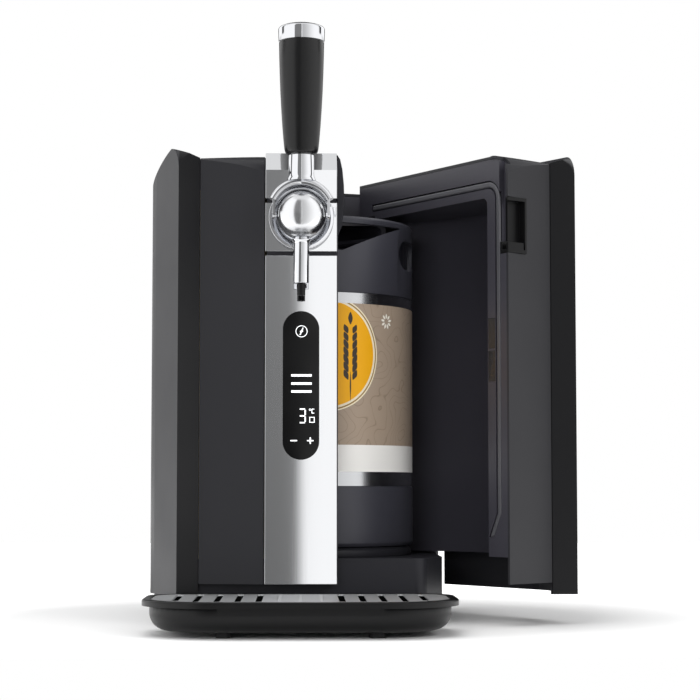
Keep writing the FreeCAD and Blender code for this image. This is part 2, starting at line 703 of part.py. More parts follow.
def pill(grow, depth, y):
    """Upright slot shape facing the front, with its face at y."""
    r = PILL_W / 2 + grow
    low, high = PILL_LOW + PILL_W / 2, PILL_HIGH - PILL_W / 2
    ends = [cyl(r, (0, y, z), (0, 1, 0), depth) for z in (low, high)]
    return fuse([box(-r, r, y, y + depth, low, high)] + ends)


def steel_fascia():
    return wrap(COL_BOTTOM, LOWER_TOP).cut(pill(0.2, 6, COL_FACE - 2))


def tap_middle_block():
    block = wrap(LOWER_TOP + COL_GAP, MIDDLE_TOP)
    return block.cut(cyl(NECK_R + 0.3, (0, COL_FACE - 5, BALL_Z), (0, 1, 0), 12))


def tap_upper_block():
    """Top of the column: its head slopes back to the body's top."""
    low = MIDDLE_TOP + COL_GAP
    profile = [
        (COL_FACE, low),
        (COL_FACE, COL_SLOPE_Z),
        (COL_FACE + COL_SLOPE_RUN, COL_TOP),
        (COL_FACE + 2.2 * COL_WRAP, COL_TOP),
        (COL_FACE + 2.2 * COL_WRAP, COL_TOP - STEEL),
        (COL_FACE + COL_SLOPE_RUN + 0.8, COL_TOP - STEEL),
        (COL_FACE + STEEL, COL_SLOPE_Z - 0.4),
        (COL_FACE + STEEL, low),
    ]
    ring = [V(-COL_HALF, y, z) for y, z in profile]
    sheet = Part.Face(Part.makePolygon(ring + ring[:1])).extrude(V(2 * COL_HALF, 0, 0))
    cheeks = []
    for s in (-1, 1):
        x = s * (COL_HALF - STEEL / 2)
        ring = [V(x - STEEL / 2, y, z) for y, z in profile[:3]]
        ring += [V(x - STEEL / 2, COL_FACE + COL_WRAP, COL_TOP), V(x - STEEL / 2, COL_FACE + COL_WRAP, low)]
        cheeks.append(Part.Face(Part.makePolygon(ring + ring[:1])).extrude(V(STEEL, 0, 0)))
    return fuse([sheet] + cheeks)


def column_frame():
    """Black channel behind the steel, with the tap's hole and the display's pocket."""
    half = COL_HALF - STEEL - 0.1
    front = COL_FACE + STEEL + 0.1
    back = COL_BACK
    frame = box(-half, half, front, back, COL_BOTTOM, COL_SLOPE_Z - 2)
    frame = frame.fuse(box(-half, half, front + COL_SLOPE_RUN, back, COL_SLOPE_Z - 2, TOP_Z - SKIN - 0.3))
    frame = frame.cut(box(-half - 1, half + 1, PLINTH_FRONT - 0.1, back + 1, 0, PLINTH_TOP + 0.1))
    frame = frame.cut(box(-half + 3, half - 3, front + 8, back + 1, PLINTH_TOP + 8, LOWER_TOP - 3))
    frame = frame.cut(pill(0.2, 14, COL_FACE - 1))
    frame = frame.cut(cyl(NECK_R + 0.1, (0, COL_FACE - 5, BALL_Z), (0, 1, 0), 60))
    return frame


def display_board():
    y = COL_FACE + PILL_T + 0.3
    board = pill(-1.0, 1.6, y)
    chips = [box(-6, 6, y + 1.6, y + 4.0, z, z + 9) for z in (160, 190, 220)]
    return fuse([board] + chips)


def column_side_cover():
    """Curved black cheek on the right of the column's head."""
    points = [(0, 0), (0.45, 0.06), (0.75, 0.18), (0.95, 0.36), (1, 0.5), (0.95, 0.66), (0.7, 0.85), (0, 1)]
    x0, z0 = COL_HALF + 0.05, COL_TOP - 1
    ring = [V(x0 + a * CHEEK_W, PANEL_Y + CHEEK_BACK, z0 - b * CHEEK_H) for a, b in points]
    return Part.Face(Part.makePolygon(ring + ring[:1])).extrude(V(0, CHEEK_D, 0))


def cheek_pocket(wall=0.0):
    """Room in the door's free edge for the cheek, behind the door's front panel."""
    y = PANEL_Y + CHEEK_BACK
    side, gap = COL_HALF + CHEEK_W + 2 * MOVE + wall, MOVE + wall
    back = y + CHEEK_D + CHEEK_SWING + gap
    return box(0, side, y - gap, back, COL_TOP - CHEEK_H - 4 - wall, ABOVE)


def tap_neck():
    """Hollow spigot that carries the ball; the beer line lies in it."""
    back = COL_BACK
    start = BALL_Y + math.sqrt(BALL_R ** 2 - NECK_R ** 2) - 1.0
    tube = cyl(NECK_R, (0, start, BALL_Z), (0, 1, 0), back - start)
    tube = tube.cut(cyl(NECK_R - NECK_WALL, (0, start - 1, BALL_Z), (0, 1, 0), back - start + 2))
    return tube.cut(Part.makeSphere(BALL_R + 0.02, V(0, BALL_Y, BALL_Z)))


def tap_ball():
    centre = V(0, BALL_Y, BALL_Z)
    ball = Part.makeSphere(BALL_R, centre).cut(Part.makeSphere(BALL_R - BALL_WALL, centre))
    ball = ball.cut(cyl(NECK_R - NECK_WALL, (0, BALL_Y, BALL_Z), (0, 1, 0), BALL_R + 2))
    ball = ball.cut(cyl(SPOUT_R, (0, BALL_Y, BALL_Z), (0, 0, -1), BALL_R + 2))
    return ball.cut(cyl(SHAFT_R + RUN, (-BALL_R - 2, BALL_Y, BALL_Z), (1, 0, 0), 2 * BALL_R + 4))


def tap_collar():
    """Cup ring that stands off the column round the ball."""
    y = COL_FACE - COLLAR_D
    ring = cyl(COLLAR_OUT, (0, y, BALL_Z), (0, 1, 0), COLLAR_D - 0.05)
    bowl = Part.makeCone(COLLAR_OUT - 2.5, NECK_R + 0.1, COLLAR_D - 1.5, V(0, y - 0.01, BALL_Z), V(0, 1, 0))
    ring = ring.cut(bowl)
    return ring.cut(cyl(NECK_R + 0.1, (0, y - 2, BALL_Z), (0, 1, 0), COLLAR_D + 4))


def tap_latch():
    lug = box(COLLAR_OUT - 1.0, COLLAR_OUT + 2.0, COL_FACE - 7, COL_FACE - 0.1, BALL_Z + 2, BALL_Z + 9)
    return lug.cut(cyl(COLLAR_OUT, (0, COL_FACE - 10, BALL_Z), (0, 1, 0), 12))


def spout_tube():
    top = BALL_Z - BALL_R + BALL_WALL
    tube = upright(SPOUT_R - 0.02, 0, BALL_Y, SPOUT_BOTTOM, top)
    flare = Part.makeCone(SPOUT_R - 0.02, SPOUT_R + 2.0, 3.0, V(0, BALL_Y, BALL_Z - BALL_R - 3.0))
    flare = flare.cut(Part.makeSphere(BALL_R + 0.02, V(0, BALL_Y, BALL_Z)))
    return fuse([tube, flare]).cut(upright(HOSE_R + 0.4, 0, BALL_Y, SPOUT_BOTTOM - 1, top + 1))


def hose_along(points, bend, r_out, r_in):
    """Round hose along a path in the plane x = 0, bent with one radius."""
    edges = []
    start = V(0, *points[0])
    for i in range(1, len(points) - 1):
        a, b, c = V(0, *points[i - 1]), V(0, *points[i]), V(0, *points[i + 1])
        u, w = (a - b).normalize(), (c - b).normalize()
        turn = math.pi - u.getAngle(w)
        cut = bend * math.tan(turn / 2)
        p, q = b + u * cut, b + w * cut
        mid = b + (u + w).normalize() * (bend / math.cos(turn / 2) - bend)
        edges.append(Part.LineSegment(start, p).toShape())
        edges.append(Part.Arc(p, mid, q).toShape())
        start = q
    edges.append(Part.LineSegment(start, V(0, *points[-1])).toShape())
    path = Part.Wire(edges)
    first = V(0, *points[1]) - V(0, *points[0])
    rings = []
    for r in (r_out, r_in):
        ring = Part.Wire(Part.Circle(V(0, *points[0]), first, r).toShape())
        rings.append(path.makePipeShell([ring], True, True))
    return rings[0].cut(rings[1])


def beer_line():
    points = [(-VALVE_R - 8, HOSE_Z), (BALL_Y, HOSE_Z), (BALL_Y, NOZZLE_Z)]
    return hose_along(points, HOSE_BEND, HOSE_R, HOSE_BORE)


def lever_shaft():
    """Cross shaft in the ball with the cam that squeezes the beer line shut."""
    half = PIVOT_EAR_X + EAR_T
    shaft = cyl(SHAFT_R, (-half, BALL_Y, BALL_Z), (1, 0, 0), 2 * half)
    hub = cyl(SHAFT_R + 1.5, (-4, BALL_Y, BALL_Z), (1, 0, 0), 8)
    lobe = cyl(2.2, (-4, BALL_Y + 1.7, BALL_Z - 5.0), (1, 0, 0), 8)
    web = box(-4, 4, BALL_Y - 0.5, BALL_Y + 3.5, BALL_Z - 5.2, BALL_Z)
    return fuse([shaft, hub, lobe, web])


def lever_yoke():
    """Saddle over the ball, its two ears on the shaft, and the stem."""
    ring = cyl(ARCH_OUT, (0, BALL_Y - ARCH_D / 2, BALL_Z), (0, 1, 0), ARCH_D)
    ring = ring.cut(Part.makeSphere(ARCH_IN, V(0, BALL_Y, BALL_Z)))
    ring = ring.cut(cyl(ARCH_IN - 1.5, (0, BALL_Y - ARCH_D, BALL_Z), (0, 1, 0), 2 * ARCH_D))
    half = PIVOT_EAR_X + EAR_T
    arch = ring.common(box(-half, half, BALL_Y - ARCH_D, BALL_Y + ARCH_D, BALL_Z + ARCH_LOW, ABOVE + 80))
    parts = [arch]
    for s in (-1, 1):
        x0 = min(s * PIVOT_EAR_X, s * (PIVOT_EAR_X + EAR_T))
        ear = box(x0, x0 + EAR_T, BALL_Y - 4, BALL_Y + 4, BALL_Z, BALL_Z + ARCH_LOW + 4)
        eye = cyl(5.0, (x0, BALL_Y, BALL_Z), (1, 0, 0), EAR_T)
        parts += [ear.cut(Part.makeSphere(ARCH_IN, V(0, BALL_Y, BALL_Z))), eye]
    parts.append(upright(STEM_R, 0, BALL_Y, BALL_Z + ARCH_OUT - 3, STEM_TOP))
    parts.append(upright(STUD_R, 0, BALL_Y, STEM_TOP, GRIP_HIGH - 8))
    yoke = fuse(parts)
    return yoke.cut(cyl(SHAFT_R, (-40, BALL_Y, BALL_Z), (1, 0, 0), 80))


def lever_grip():
    profile = [(0, GRIP_LOW), (GRIP_R_LOW - 4, GRIP_LOW), (GRIP_R_LOW - 1, GRIP_LOW + 2),
               (GRIP_R_LOW, GRIP_LOW + 6), (GRIP_R_HIGH, GRIP_HIGH), (0, GRIP_HIGH)]
    ring = [V(r, BALL_Y, z) for r, z in profile]
    grip = Part.Face(Part.makePolygon(ring + ring[:1])).revolve(V(0, BALL_Y, 0), V(0, 0, 1), 360)
    grip = grip.cut(upright(STEM_R, 0, BALL_Y, GRIP_LOW - 1, STEM_TOP))
    return grip.cut(upright(STUD_R, 0, BALL_Y, STEM_TOP - 1, GRIP_HIGH - 6))


def grip_cap():
    rim, edge, dome = CAP_TOP - 0.32 * CAP_LENGTH, CAP_TOP - 0.2 * CAP_LENGTH, CAP_TOP - 0.06 * CAP_LENGTH
    profile = [(0, GRIP_HIGH), (GRIP_R_HIGH + 0.3, GRIP_HIGH), (GRIP_R_HIGH + 0.6, rim),
               (GRIP_R_HIGH - 1.0, edge), (GRIP_R_HIGH - 8, dome), (0, CAP_TOP)]
    ring = [V(r, BALL_Y, z) for r, z in profile]
    return Part.Face(Part.makePolygon(ring + ring[:1])).revolve(V(0, BALL_Y, 0), V(0, 0, 1), 360)


# ---- keg ----
def keg_shell():
    """Closed steel barrel, drawn in at the foot where the base ring holds it."""
    low, top, wall = KEG_BOTTOM + 12, KEG_SHELL_TOP, KEG_WALL
    r = KEG_R - 0.6
    foot = KEG_R - FOOT_IN
    out = [(0, low + 14), (55, low + 10), (foot - 8, low), (foot - 1, low), (foot, low + 2),
           (foot, KEG_BASE_TOP - 8), (r, KEG_BASE_TOP + 0.3), (r, top - 0.3), (r - 13, top + 6),
           (40, top + DOME_H - 2), (VALVE_R - 3, top + DOME_H), (VALVE_R - 3, top + DOME_H + 6),
           (0, top + DOME_H + 6)]
    inn = [(0, low + 14 + wall), (55, low + 10 + wall), (foot - 8, low + wall), (foot - wall, low + 2),
           (foot - wall, KEG_BASE_TOP - 7.5), (r - wall, KEG_BASE_TOP + 0.8), (r - wall, top - 0.8),
           (r - 13.6, top + 6 - wall), (40, top + DOME_H - 2 - wall), (0, top + DOME_H - 2 - wall)]
    return turned(out).cut(turned(inn))


def keg_label():
    low, top = KEG_BASE_TOP + LABEL_LOW_GAP, KEG_SHELL_TOP - LABEL_TOP_GAP
    return turned([(KEG_R - 0.5, low), (KEG_R - 0.15, low), (KEG_R - 0.15, top), (KEG_R - 0.5, top)])


def keg_base_ring():
    low, top = KEG_BOTTOM, KEG_BASE_TOP
    foot = KEG_R - FOOT_IN
    return turned([(foot - 5, low), (KEG_R - 2, low), (KEG_R, low + 3), (KEG_R, top - 1), (KEG_R - 0.2, top),
                   (KEG_R - 0.5, top), (foot + 0.3, top - 8.4), (foot + 0.3, low + 13.9),
                   (foot + 0.3, low + 11.9), (foot - 5, low + 11.9)])


def keg_collar():
    """Plastic crown: floor lip, wall, front window with sloping ends, two hand holes."""
    low, top = KEG_SHELL_TOP, KEG_TOP
    inner = KEG_R - COLLAR_WALL
    ring = turned([(KEG_R - 0.4, low), (KEG_R, low + 2), (KEG_R, top - 2), (KEG_R - 1.5, top),
                   (inner - 6, top), (inner - 6, top - 3.5), (inner, top - 6), (inner, low + 4),
                   (KEG_R - 13, low + 7.5), (KEG_R - 0.4, low + 0.1)])
    sill, head = BALL_Z - 22, top - 6
    ring_points = [V(-88, -KEG_R - 5, head), V(-36, -KEG_R - 5, sill), V(36, -KEG_R - 5, sill),
                   V(88, -KEG_R - 5, head)]
    window = Part.Face(Part.makePolygon(ring_points + ring_points[:1])).extrude(V(0, KEG_R, 0))
    ring = ring.cut(window)
    for s in (-1, 1):
        x0 = min(s * (KEG_R - 40), s * (KEG_R + 10))
        r, z = HAND_H / 2, low + HAND_UP
        hole = box(x0, x0 + 50, HAND_FRONT + r, HAND_BACK - r, z - r, z + r)
        for y in (HAND_FRONT + r, HAND_BACK - r):
            hole = hole.fuse(cyl(r, (x0, y, z), (1, 0, 0), 50))
        ring = ring.cut(hole)
    return ring


def keg_valve():
    """Valve and the plug-on coupler, with the outlets for the beer and air lines."""
    low = KEG_SHELL_TOP + DOME_H + 6.02
    body = upright(VALVE_R, 0, 0, low, low + 9)
    head = upright(VALVE_R - 4, 0, 0, low + 9, KEG_TOP - 2)
    beer = cyl(HOSE_R + 2.5, (0, 0, HOSE_Z), (0, -1, 0), VALVE_R + 8 - 0.05)
    return fuse([body, head, beer])


# ---- door ----
def door_skin():
    """Side and top of the door, flared like the fixed side."""
    skin = SHELL.common(door_zone(0, ABOVE, MOVE / 2))
    return skin.cut(front_zone(0, ABOVE, SEAM)).cut(cheek_pocket())


def door_front_panel():
    zone = front_zone(PANEL_BOTTOM, ABOVE).common(box(SPLIT_X, HALF_W, -FAR, 0, 0, ABOVE))
    notch = cheek_pocket().common(box(0, HALF_W, -FAR, 0, TOP_Z - FRONT_R, ABOVE))
    pull = box(SPLIT_X - 1, SPLIT_X + PULL_W, PANEL_Y - 10, PANEL_Y + 20, PULL_LOW, PULL_HIGH)
    return SHELL.common(zone).cut(pull).cut(notch)


def door_pull():
    """Finger pull set into the free edge of the door's front panel."""
    x0, x1 = SPLIT_X + 0.2, SPLIT_X + PULL_W - 0.2
    y0, y1 = PANEL_Y + 1.0, PANEL_Y + PULL_D
    z0, z1 = PULL_LOW + 0.2, PULL_HIGH - 0.2
    cup = box(x0, x1, y0, y1, z0, z1)
    cup = cup.cut(box(x0 - 1, x1 - 2, y0 - 1, y1 - 2.5, z0 + 3, z1 - 3))
    lip = box(x0, x1 - 4, y0 - 0.6, y0 + 2, z0, z0 + 9)
    return fuse([cup, lip]).cut(cheek_pocket())


def door_block(inset, cavity):
    """The door's inside between skin and keg room; inset shrinks its open faces."""
    block = envelope(SKIN + 0.2, PLINTH_TOP + 1.5 + inset)
    block = block.common(door_zone(0, ABOVE, MOVE / 2 + inset))
    block = block.cut(room(cavity, 0, ROOM_TOP + cavity))
    block = block.cut(box(-1, COL_HALF + MOVE + inset, -FAR, 0, 0, TOP_Z))
    for low, high in (LOW_KNUCKLE, HIGH_KNUCKLE):
        arm = knuckle_arm(low, high, 0.2 + inset)
        block = block.cut(arm)
    return block


def knuckle_arm(low, high, grow):
    x0, x1 = HINGE_X - 9.5 - grow, HINGE_X + grow
    return box(x0, x1, DOOR_BACK - 12 - grow, HINGE_Y, low - grow, high + grow)


def pull_pocket(gap):
    return box(SPLIT_X - 2, SPLIT_X + PULL_W + gap, PANEL_Y - 10, PANEL_Y + PULL_D + gap, PULL_LOW - gap,
               PULL_HIGH + gap)


def on_rim(shape):
    """Lays a shape on the door's rim: X is its depth, Y runs back from the front end."""
    turn = math.degrees(math.atan2(SPLIT_REAR_X - SPLIT_X, HINGE_Y - MOVE - PANEL_Y))
    shape.rotate(V(), V(0, 0, 1), -turn)
    shape.translate(V(SPLIT_X + MOVE / 2, PANEL_Y, 0))
    return shape


def seal_bars(gap):
    """Down the free edge, round the upper corner and along the top of the door's opening."""
    end = math.hypot(SPLIT_REAR_X - SPLIT_X, HINGE_Y - PANEL_Y) - DOOR_END - SEAL_REAR + gap
    depth = (-gap, SEAL_D + gap)
    front, inner = SEAL_FRONT - gap, SEAL_FRONT + SEAL_W + gap
    top, under = SEAL_TOP + gap, SEAL_TOP - SEAL_W - gap
    outer = box(depth[0], depth[1], front, end, SEAL_LOW, top)
    outer = outer.makeFillet(SEAL_R + gap, [e for e in outer.Edges if at(e, front, top)])
    hollow = box(depth[0] - 1, depth[1] + 1, inner, end + 1, SEAL_LOW - 1, under)
    hollow = hollow.makeFillet(SEAL_R - SEAL_W - gap, [e for e in hollow.Edges if at(e, inner, under)])
    run, drop = SEAL_TOE
    toe = [(front, SEAL_LOW), (inner, SEAL_LOW), (inner + run, SEAL_LOW - drop), (front + run, SEAL_LOW - drop)]
    ring = [V(depth[0], y, z) for y, z in toe]
    foot = Part.Face(Part.makePolygon(ring + ring[:1])).extrude(V(depth[1] - depth[0], 0, 0))
    return on_rim(outer.cut(hollow).fuse(foot))


def at(edge, y, z):
    """Whether an edge runs along X at this y and z."""
    return all(abs(v.Point.y - y) < 0.01 and abs(v.Point.z - z) < 0.01 for v in edge.Vertexes)


def catch_plates(gap):
    """Two plates one above the other, just inside the seal."""
    plates = []
    for low in (CATCH_LOW, CATCH_LOW + CATCH_H + CATCH_GAP):
        plates.append(box(-gap, SEAL_D + gap, CATCH_FRONT - gap, CATCH_FRONT + CATCH_W + gap,
                          low - gap, low + CATCH_H + gap))
    return on_rim(Part.makeCompound(plates))


def door_liner():
    """Moulded inner face of the door: the concave half of the room, the rim and the rear wall."""
    whole = door_block(0.0, 0.0)
    core = door_block(LINER, LINER).cut(pull_pocket(LINER)).cut(cheek_pocket(LINER))
    liner = whole.cut(core).cut(pull_pocket(0.2)).cut(cheek_pocket())
    return largest(liner.cut(seal_bars(SEAL_GROOVE)).cut(catch_plates(0.05)))


def door_foam():
    gap = LINER + 0.1
    return largest(door_block(gap, gap).cut(pull_pocket(gap)).cut(cheek_pocket(gap)))


def door_knuckles():
    """Hinge arms of the door with round eyes on the two pins."""
    parts = []
    for low, high in (LOW_KNUCKLE, HIGH_KNUCKLE):
        eye = upright(KNUCKLE_R, HINGE_X, HINGE_Y, low, high)
        arm = fuse([eye, knuckle_arm(low, high, 0.0)])
        parts.append(arm.cut(upright(PIN_R + RUN, HINGE_X, HINGE_Y, low - 1, high + 1)))
    return Part.makeCompound(parts)


# ---- drip tray ----
def tray_body(inset, z0, z1):
    half = TRAY_HALF - inset
    rear, front = TRAY_REAR - inset, TRAY_FRONT + inset
    block = box(-half, half, front, rear, z0, z1)
    front_edges = vertical_edges(block, [(half, front), (-half, front)])
    block = block.makeFillet(TRAY_END_R - inset, front_edges)
    rear_edges = vertical_edges(block, [(half, rear), (-half, rear)])
    return block.makeFillet(TRAY_REAR_R - inset, rear_edges)


def drip_bowl():
    top = TRAY_RIM_Z - TRAY_RIM_T
    outer = tray_body(RIM_IN, TRAY_BOTTOM, top)
    low = [e for e in outer.Edges if e.BoundBox.ZMax < TRAY_BOTTOM + 0.01]
    outer = outer.makeFillet(TRAY_CURVE, low)
    inner = tray_body(RIM_IN + TRAY_WALL, TRAY_BOTTOM + TRAY_WALL, top + 1)
    low = [e for e in inner.Edges if e.BoundBox.ZMax < TRAY_BOTTOM + TRAY_WALL + 0.01]
    inner = inner.makeFillet(TRAY_CURVE - TRAY_WALL, low)
    bowl = outer.cut(inner)
    tongues = []
    half, up = TONGUE_W / 2, TONGUE_H / 2
    for x in (-TONGUE_X, TONGUE_X):
        rear = PLINTH_FRONT + PLINTH_WALL + MOVE
        tongues.append(box(x - half, x + half, TRAY_REAR - RIM_IN - 1, rear, TONGUE_Z - up, TONGUE_Z + up))
    return fuse([bowl] + tongues)


def drip_rim():
    top = TRAY_RIM_Z - TRAY_RIM_T
    ring = tray_body(0.0, top, TRAY_RIM_Z)
    high = [e for e in ring.Edges if e.BoundBox.ZMin > TRAY_RIM_Z - 0.01]
    ring = ring.makeFillet(1.8, high)
    ring = ring.cut(tray_body(RIM_W, TRAY_RIM_Z - GRILLE_T - 0.6, TRAY_RIM_Z + 1))
    return ring.cut(tray_body(RIM_W + RIM_LEDGE, top - 1, TRAY_RIM_Z + 1))


def tray_feet():
    feet = []
    for x in (-TRAY_FOOT_X, TRAY_FOOT_X):
        feet.append(upright(TRAY_FOOT_R, x, TRAY_FRONT + 30, 0, TRAY_BOTTOM))
        feet.append(upright(TRAY_FOOT_R, x, TRAY_REAR - 30, 0, TRAY_BOTTOM))
    return Part.makeCompound(feet)


def drip_grille():
    z0 = TRAY_RIM_Z - GRILLE_T - 0.3
    sheet = tray_body(RIM_W + GRILLE_FIT, z0, z0 + GRILLE_T)
    low, high = TRAY_FRONT + RIM_W + 11, TRAY_REAR - RIM_W - 9
    cuts = []
    for column in range(-6, 7):
        x = column * SLOT_PITCH
        if abs(column) <= 1:
            for i in range(HOLES):
                y = low + (high - low) * (i + 0.5) / HOLES
                cuts.append(upright(HOLE_R, x, y, z0 - 1, z0 + 3))
            continue
        short = 14.0 if abs(column) == 6 else 0.0
        a, b = low + short + SLOT_W / 2, high - short / 2 - SLOT_W / 2
        cuts.append(box(x - SLOT_W / 2, x + SLOT_W / 2, a, b, z0 - 1, z0 + 3))
        cuts.append(upright(SLOT_W / 2, x, a, z0 - 1, z0 + 3))
        cuts.append(upright(SLOT_W / 2, x, b, z0 - 1, z0 + 3))
    return sheet.cut(Part.makeCompound(cuts))


# ---- machinery bay ----
def cold_block():
    half = MODULE / 2 + 4
    block = box(-half, half, ROOM_R - 20, BAY_Y, CHILL_Z - half, CHILL_Z + half)
    return block.cut(upright(WALL_R, 0, 0, 0, TOP_Z))


def thermoelectric_module():
    half = MODULE / 2
    return box(-half, half, BAY_Y, BAY_Y + MODULE_T, CHILL_Z - half, CHILL_Z + half)


def heat_sink():
    half = SINK / 2
    y = BAY_Y + MODULE_T
    parts = [box(-half, half, y, y + SINK_BASE, CHILL_Z - half, CHILL_Z + half)]
    for i in range(FINS):
        x = -half + (SINK - FIN_T) * i / (FINS - 1)
        parts.append(box(x, x + FIN_T, y + SINK_BASE, y + SINK_BASE + FIN_H, CHILL_Z - half, CHILL_Z + half))
    return fuse(parts)


def fan_frame():
    half = FAN / 2
    frame = box(-half, half, FAN_Y, FAN_Y + FAN_T, CHILL_Z - half, CHILL_Z + half)
    corners = [e for e in frame.Edges if abs(e.BoundBox.YLength - FAN_T) < 0.01]
    frame = frame.makeFillet(5.0, corners)
    frame = frame.cut(cyl(FAN_R + 1.5, (0, FAN_Y - 1, CHILL_Z), (0, 1, 0), FAN_T + 2))
    centre = (0, FAN_Y, CHILL_Z)
    parts = [frame, cyl(HUB_R, centre, (0, 1, 0), 2.5), cyl(1.5, centre, (0, 1, 0), 12)]
    for i in range(3):
        arm = box(0, FAN_R + 3, FAN_Y, FAN_Y + 2.5, CHILL_Z - 2, CHILL_Z + 2)
        arm.rotate(V(0, 0, CHILL_Z), V(0, 1, 0), 30 + 120 * i)
        parts.append(arm)
    return fuse(parts)


def fan_rotor():
    y0, y1 = FAN_Y + 3.5, FAN_Y + FAN_T - 1.5
    parts = [cyl(HUB_R, (0, y0, CHILL_Z), (0, 1, 0), y1 - y0)]
    for i in range(BLADES):
        blade = box(HUB_R - 2, FAN_R, -1.0, 1.0, -6.5, 6.5)
        blade.rotate(V(), V(1, 0, 0), 42)
        blade.translate(V(0, (y0 + y1) / 2, CHILL_Z))
        blade.rotate(V(0, 0, CHILL_Z), V(0, 1, 0), 360.0 * i / BLADES)
        parts.append(blade)
    rotor = fuse(parts)
    rotor = rotor.common(cyl(FAN_R, (0, y0, CHILL_Z), (0, 1, 0), y1 - y0))
    return rotor.cut(cyl(1.5 + RUN, (0, y0 - 1, CHILL_Z), (0, 1, 0), FAN_T))


def power_supply():
    x, z = -HALF_W + SUPPLY_SIDE, PLINTH_TOP + SUPPLY_UP
    return box(x, x + SUPPLY_W, BAY_Y + 4, REAR_Y - 8, z, z + SUPPLY_H)


def control_board():
    x, y, z = -HALF_W + BOARD_SIDE, BAY_Y + 8, TOP_Z - BOARD_DOWN - BOARD_H
    parts = [box(x, x + BOARD_W, y, y + 1.6, z, z + BOARD_H)]
    for along, w, h in ((10, 18, 16), (45, 12, 12), (75, 22, 18), (115, 16, 14)):
        parts.append(box(x + along, x + along + w, y + 1.6, y + 1.6 + h, z + 15, z + 15 + w))
    return fuse(parts)


def air_pump():
    """Motor in the middle, pump head on top, rubber block under it."""
    half = PUMP_HEAD / 2
    body = upright(PUMP_R, PUMP_X, PUMP_Y, PUMP_LOW, PUMP_TOP)
    head = box(PUMP_X - half, PUMP_X + half, PUMP_Y - half, PUMP_Y + half, PUMP_TOP, PUMP_TOP + 24)
    block = box(PUMP_X - half, PUMP_X + half, PUMP_Y - half + 2, PUMP_Y + half - 2, PLINTH_TOP, PUMP_LOW)
    return fuse([body, head, block])


def air_line():
    """Air from the pump up the bay and forwards over the keg to the coupler."""
    spigot = upright(AIR_R, PUMP_X, PUMP_Y, PUMP_TOP + 24, AIR_Z)
    over = cyl(AIR_R, (PUMP_X, PUMP_Y, AIR_Z), (-1, 0, 0), PUMP_X)
    ahead = cyl(AIR_R, (0, PUMP_Y, AIR_Z), (0, -1, 0), PUMP_Y)
    down = upright(AIR_R, 0, 0, KEG_TOP - 1.95, AIR_Z)
    corners = ((PUMP_X, PUMP_Y), (0, PUMP_Y), (0, 0))
    joints = [Part.makeSphere(AIR_R, V(x, y, AIR_Z)) for x, y in corners]
    return fuse([spigot, over, ahead, down] + joints)


def mains_inlet():
    half, up = INLET_W / 2, INLET_H / 2
    body = box(INLET_X - half, INLET_X + half, REAR_Y - 22, REAR_Y + 0.5, INLET_Z - up, INLET_Z + up)
    body = body.cut(box(INLET_X - 12, INLET_X + 12, REAR_Y - 16, REAR_Y + 1, INLET_Z - 7, INLET_Z + 7))
    pins = [cyl(1.6, (INLET_X + x, REAR_Y - 17, INLET_Z), (0, 1, 0), 13) for x in (-5, 5)]
    return fuse([body] + pins)


def switch_housing():
    y = REAR_Y
    body = box(ROCKER_X - 9.6, ROCKER_X + 9.6, y - 20, y + 0.8, INLET_Z - 13.6, INLET_Z + 13.6)
    body = body.cut(box(ROCKER_X - 7.5, ROCKER_X + 7.5, y - 14, y + 1, INLET_Z - 11.5, INLET_Z + 11.5))
    return body.cut(cyl(1.5, (ROCKER_X - 9, y - 5, INLET_Z), (1, 0, 0), 18))


def power_rocker():
    y = REAR_Y
    points = [(y - 10, -5), (y - 3, -10.4), (y + 0.4, -10.4), (y - 0.9, 0), (y + 0.4, 10.4), (y - 3, 10.4),
              (y - 10, 5)]
    ring = [V(ROCKER_X - 7, a, INLET_Z + b) for a, b in points]
    key = Part.Face(Part.makePolygon(ring + ring[:1])).extrude(V(14, 0, 0))
    pivot = cyl(1.5 - RUN, (ROCKER_X - 8.6, y - 5, INLET_Z), (1, 0, 0), 17.2)
    rocker = fuse([key, pivot])
    rocker.rotate(V(ROCKER_X, y - 5, INLET_Z), V(1, 0, 0), -ROCKER_TIP)
    return rocker


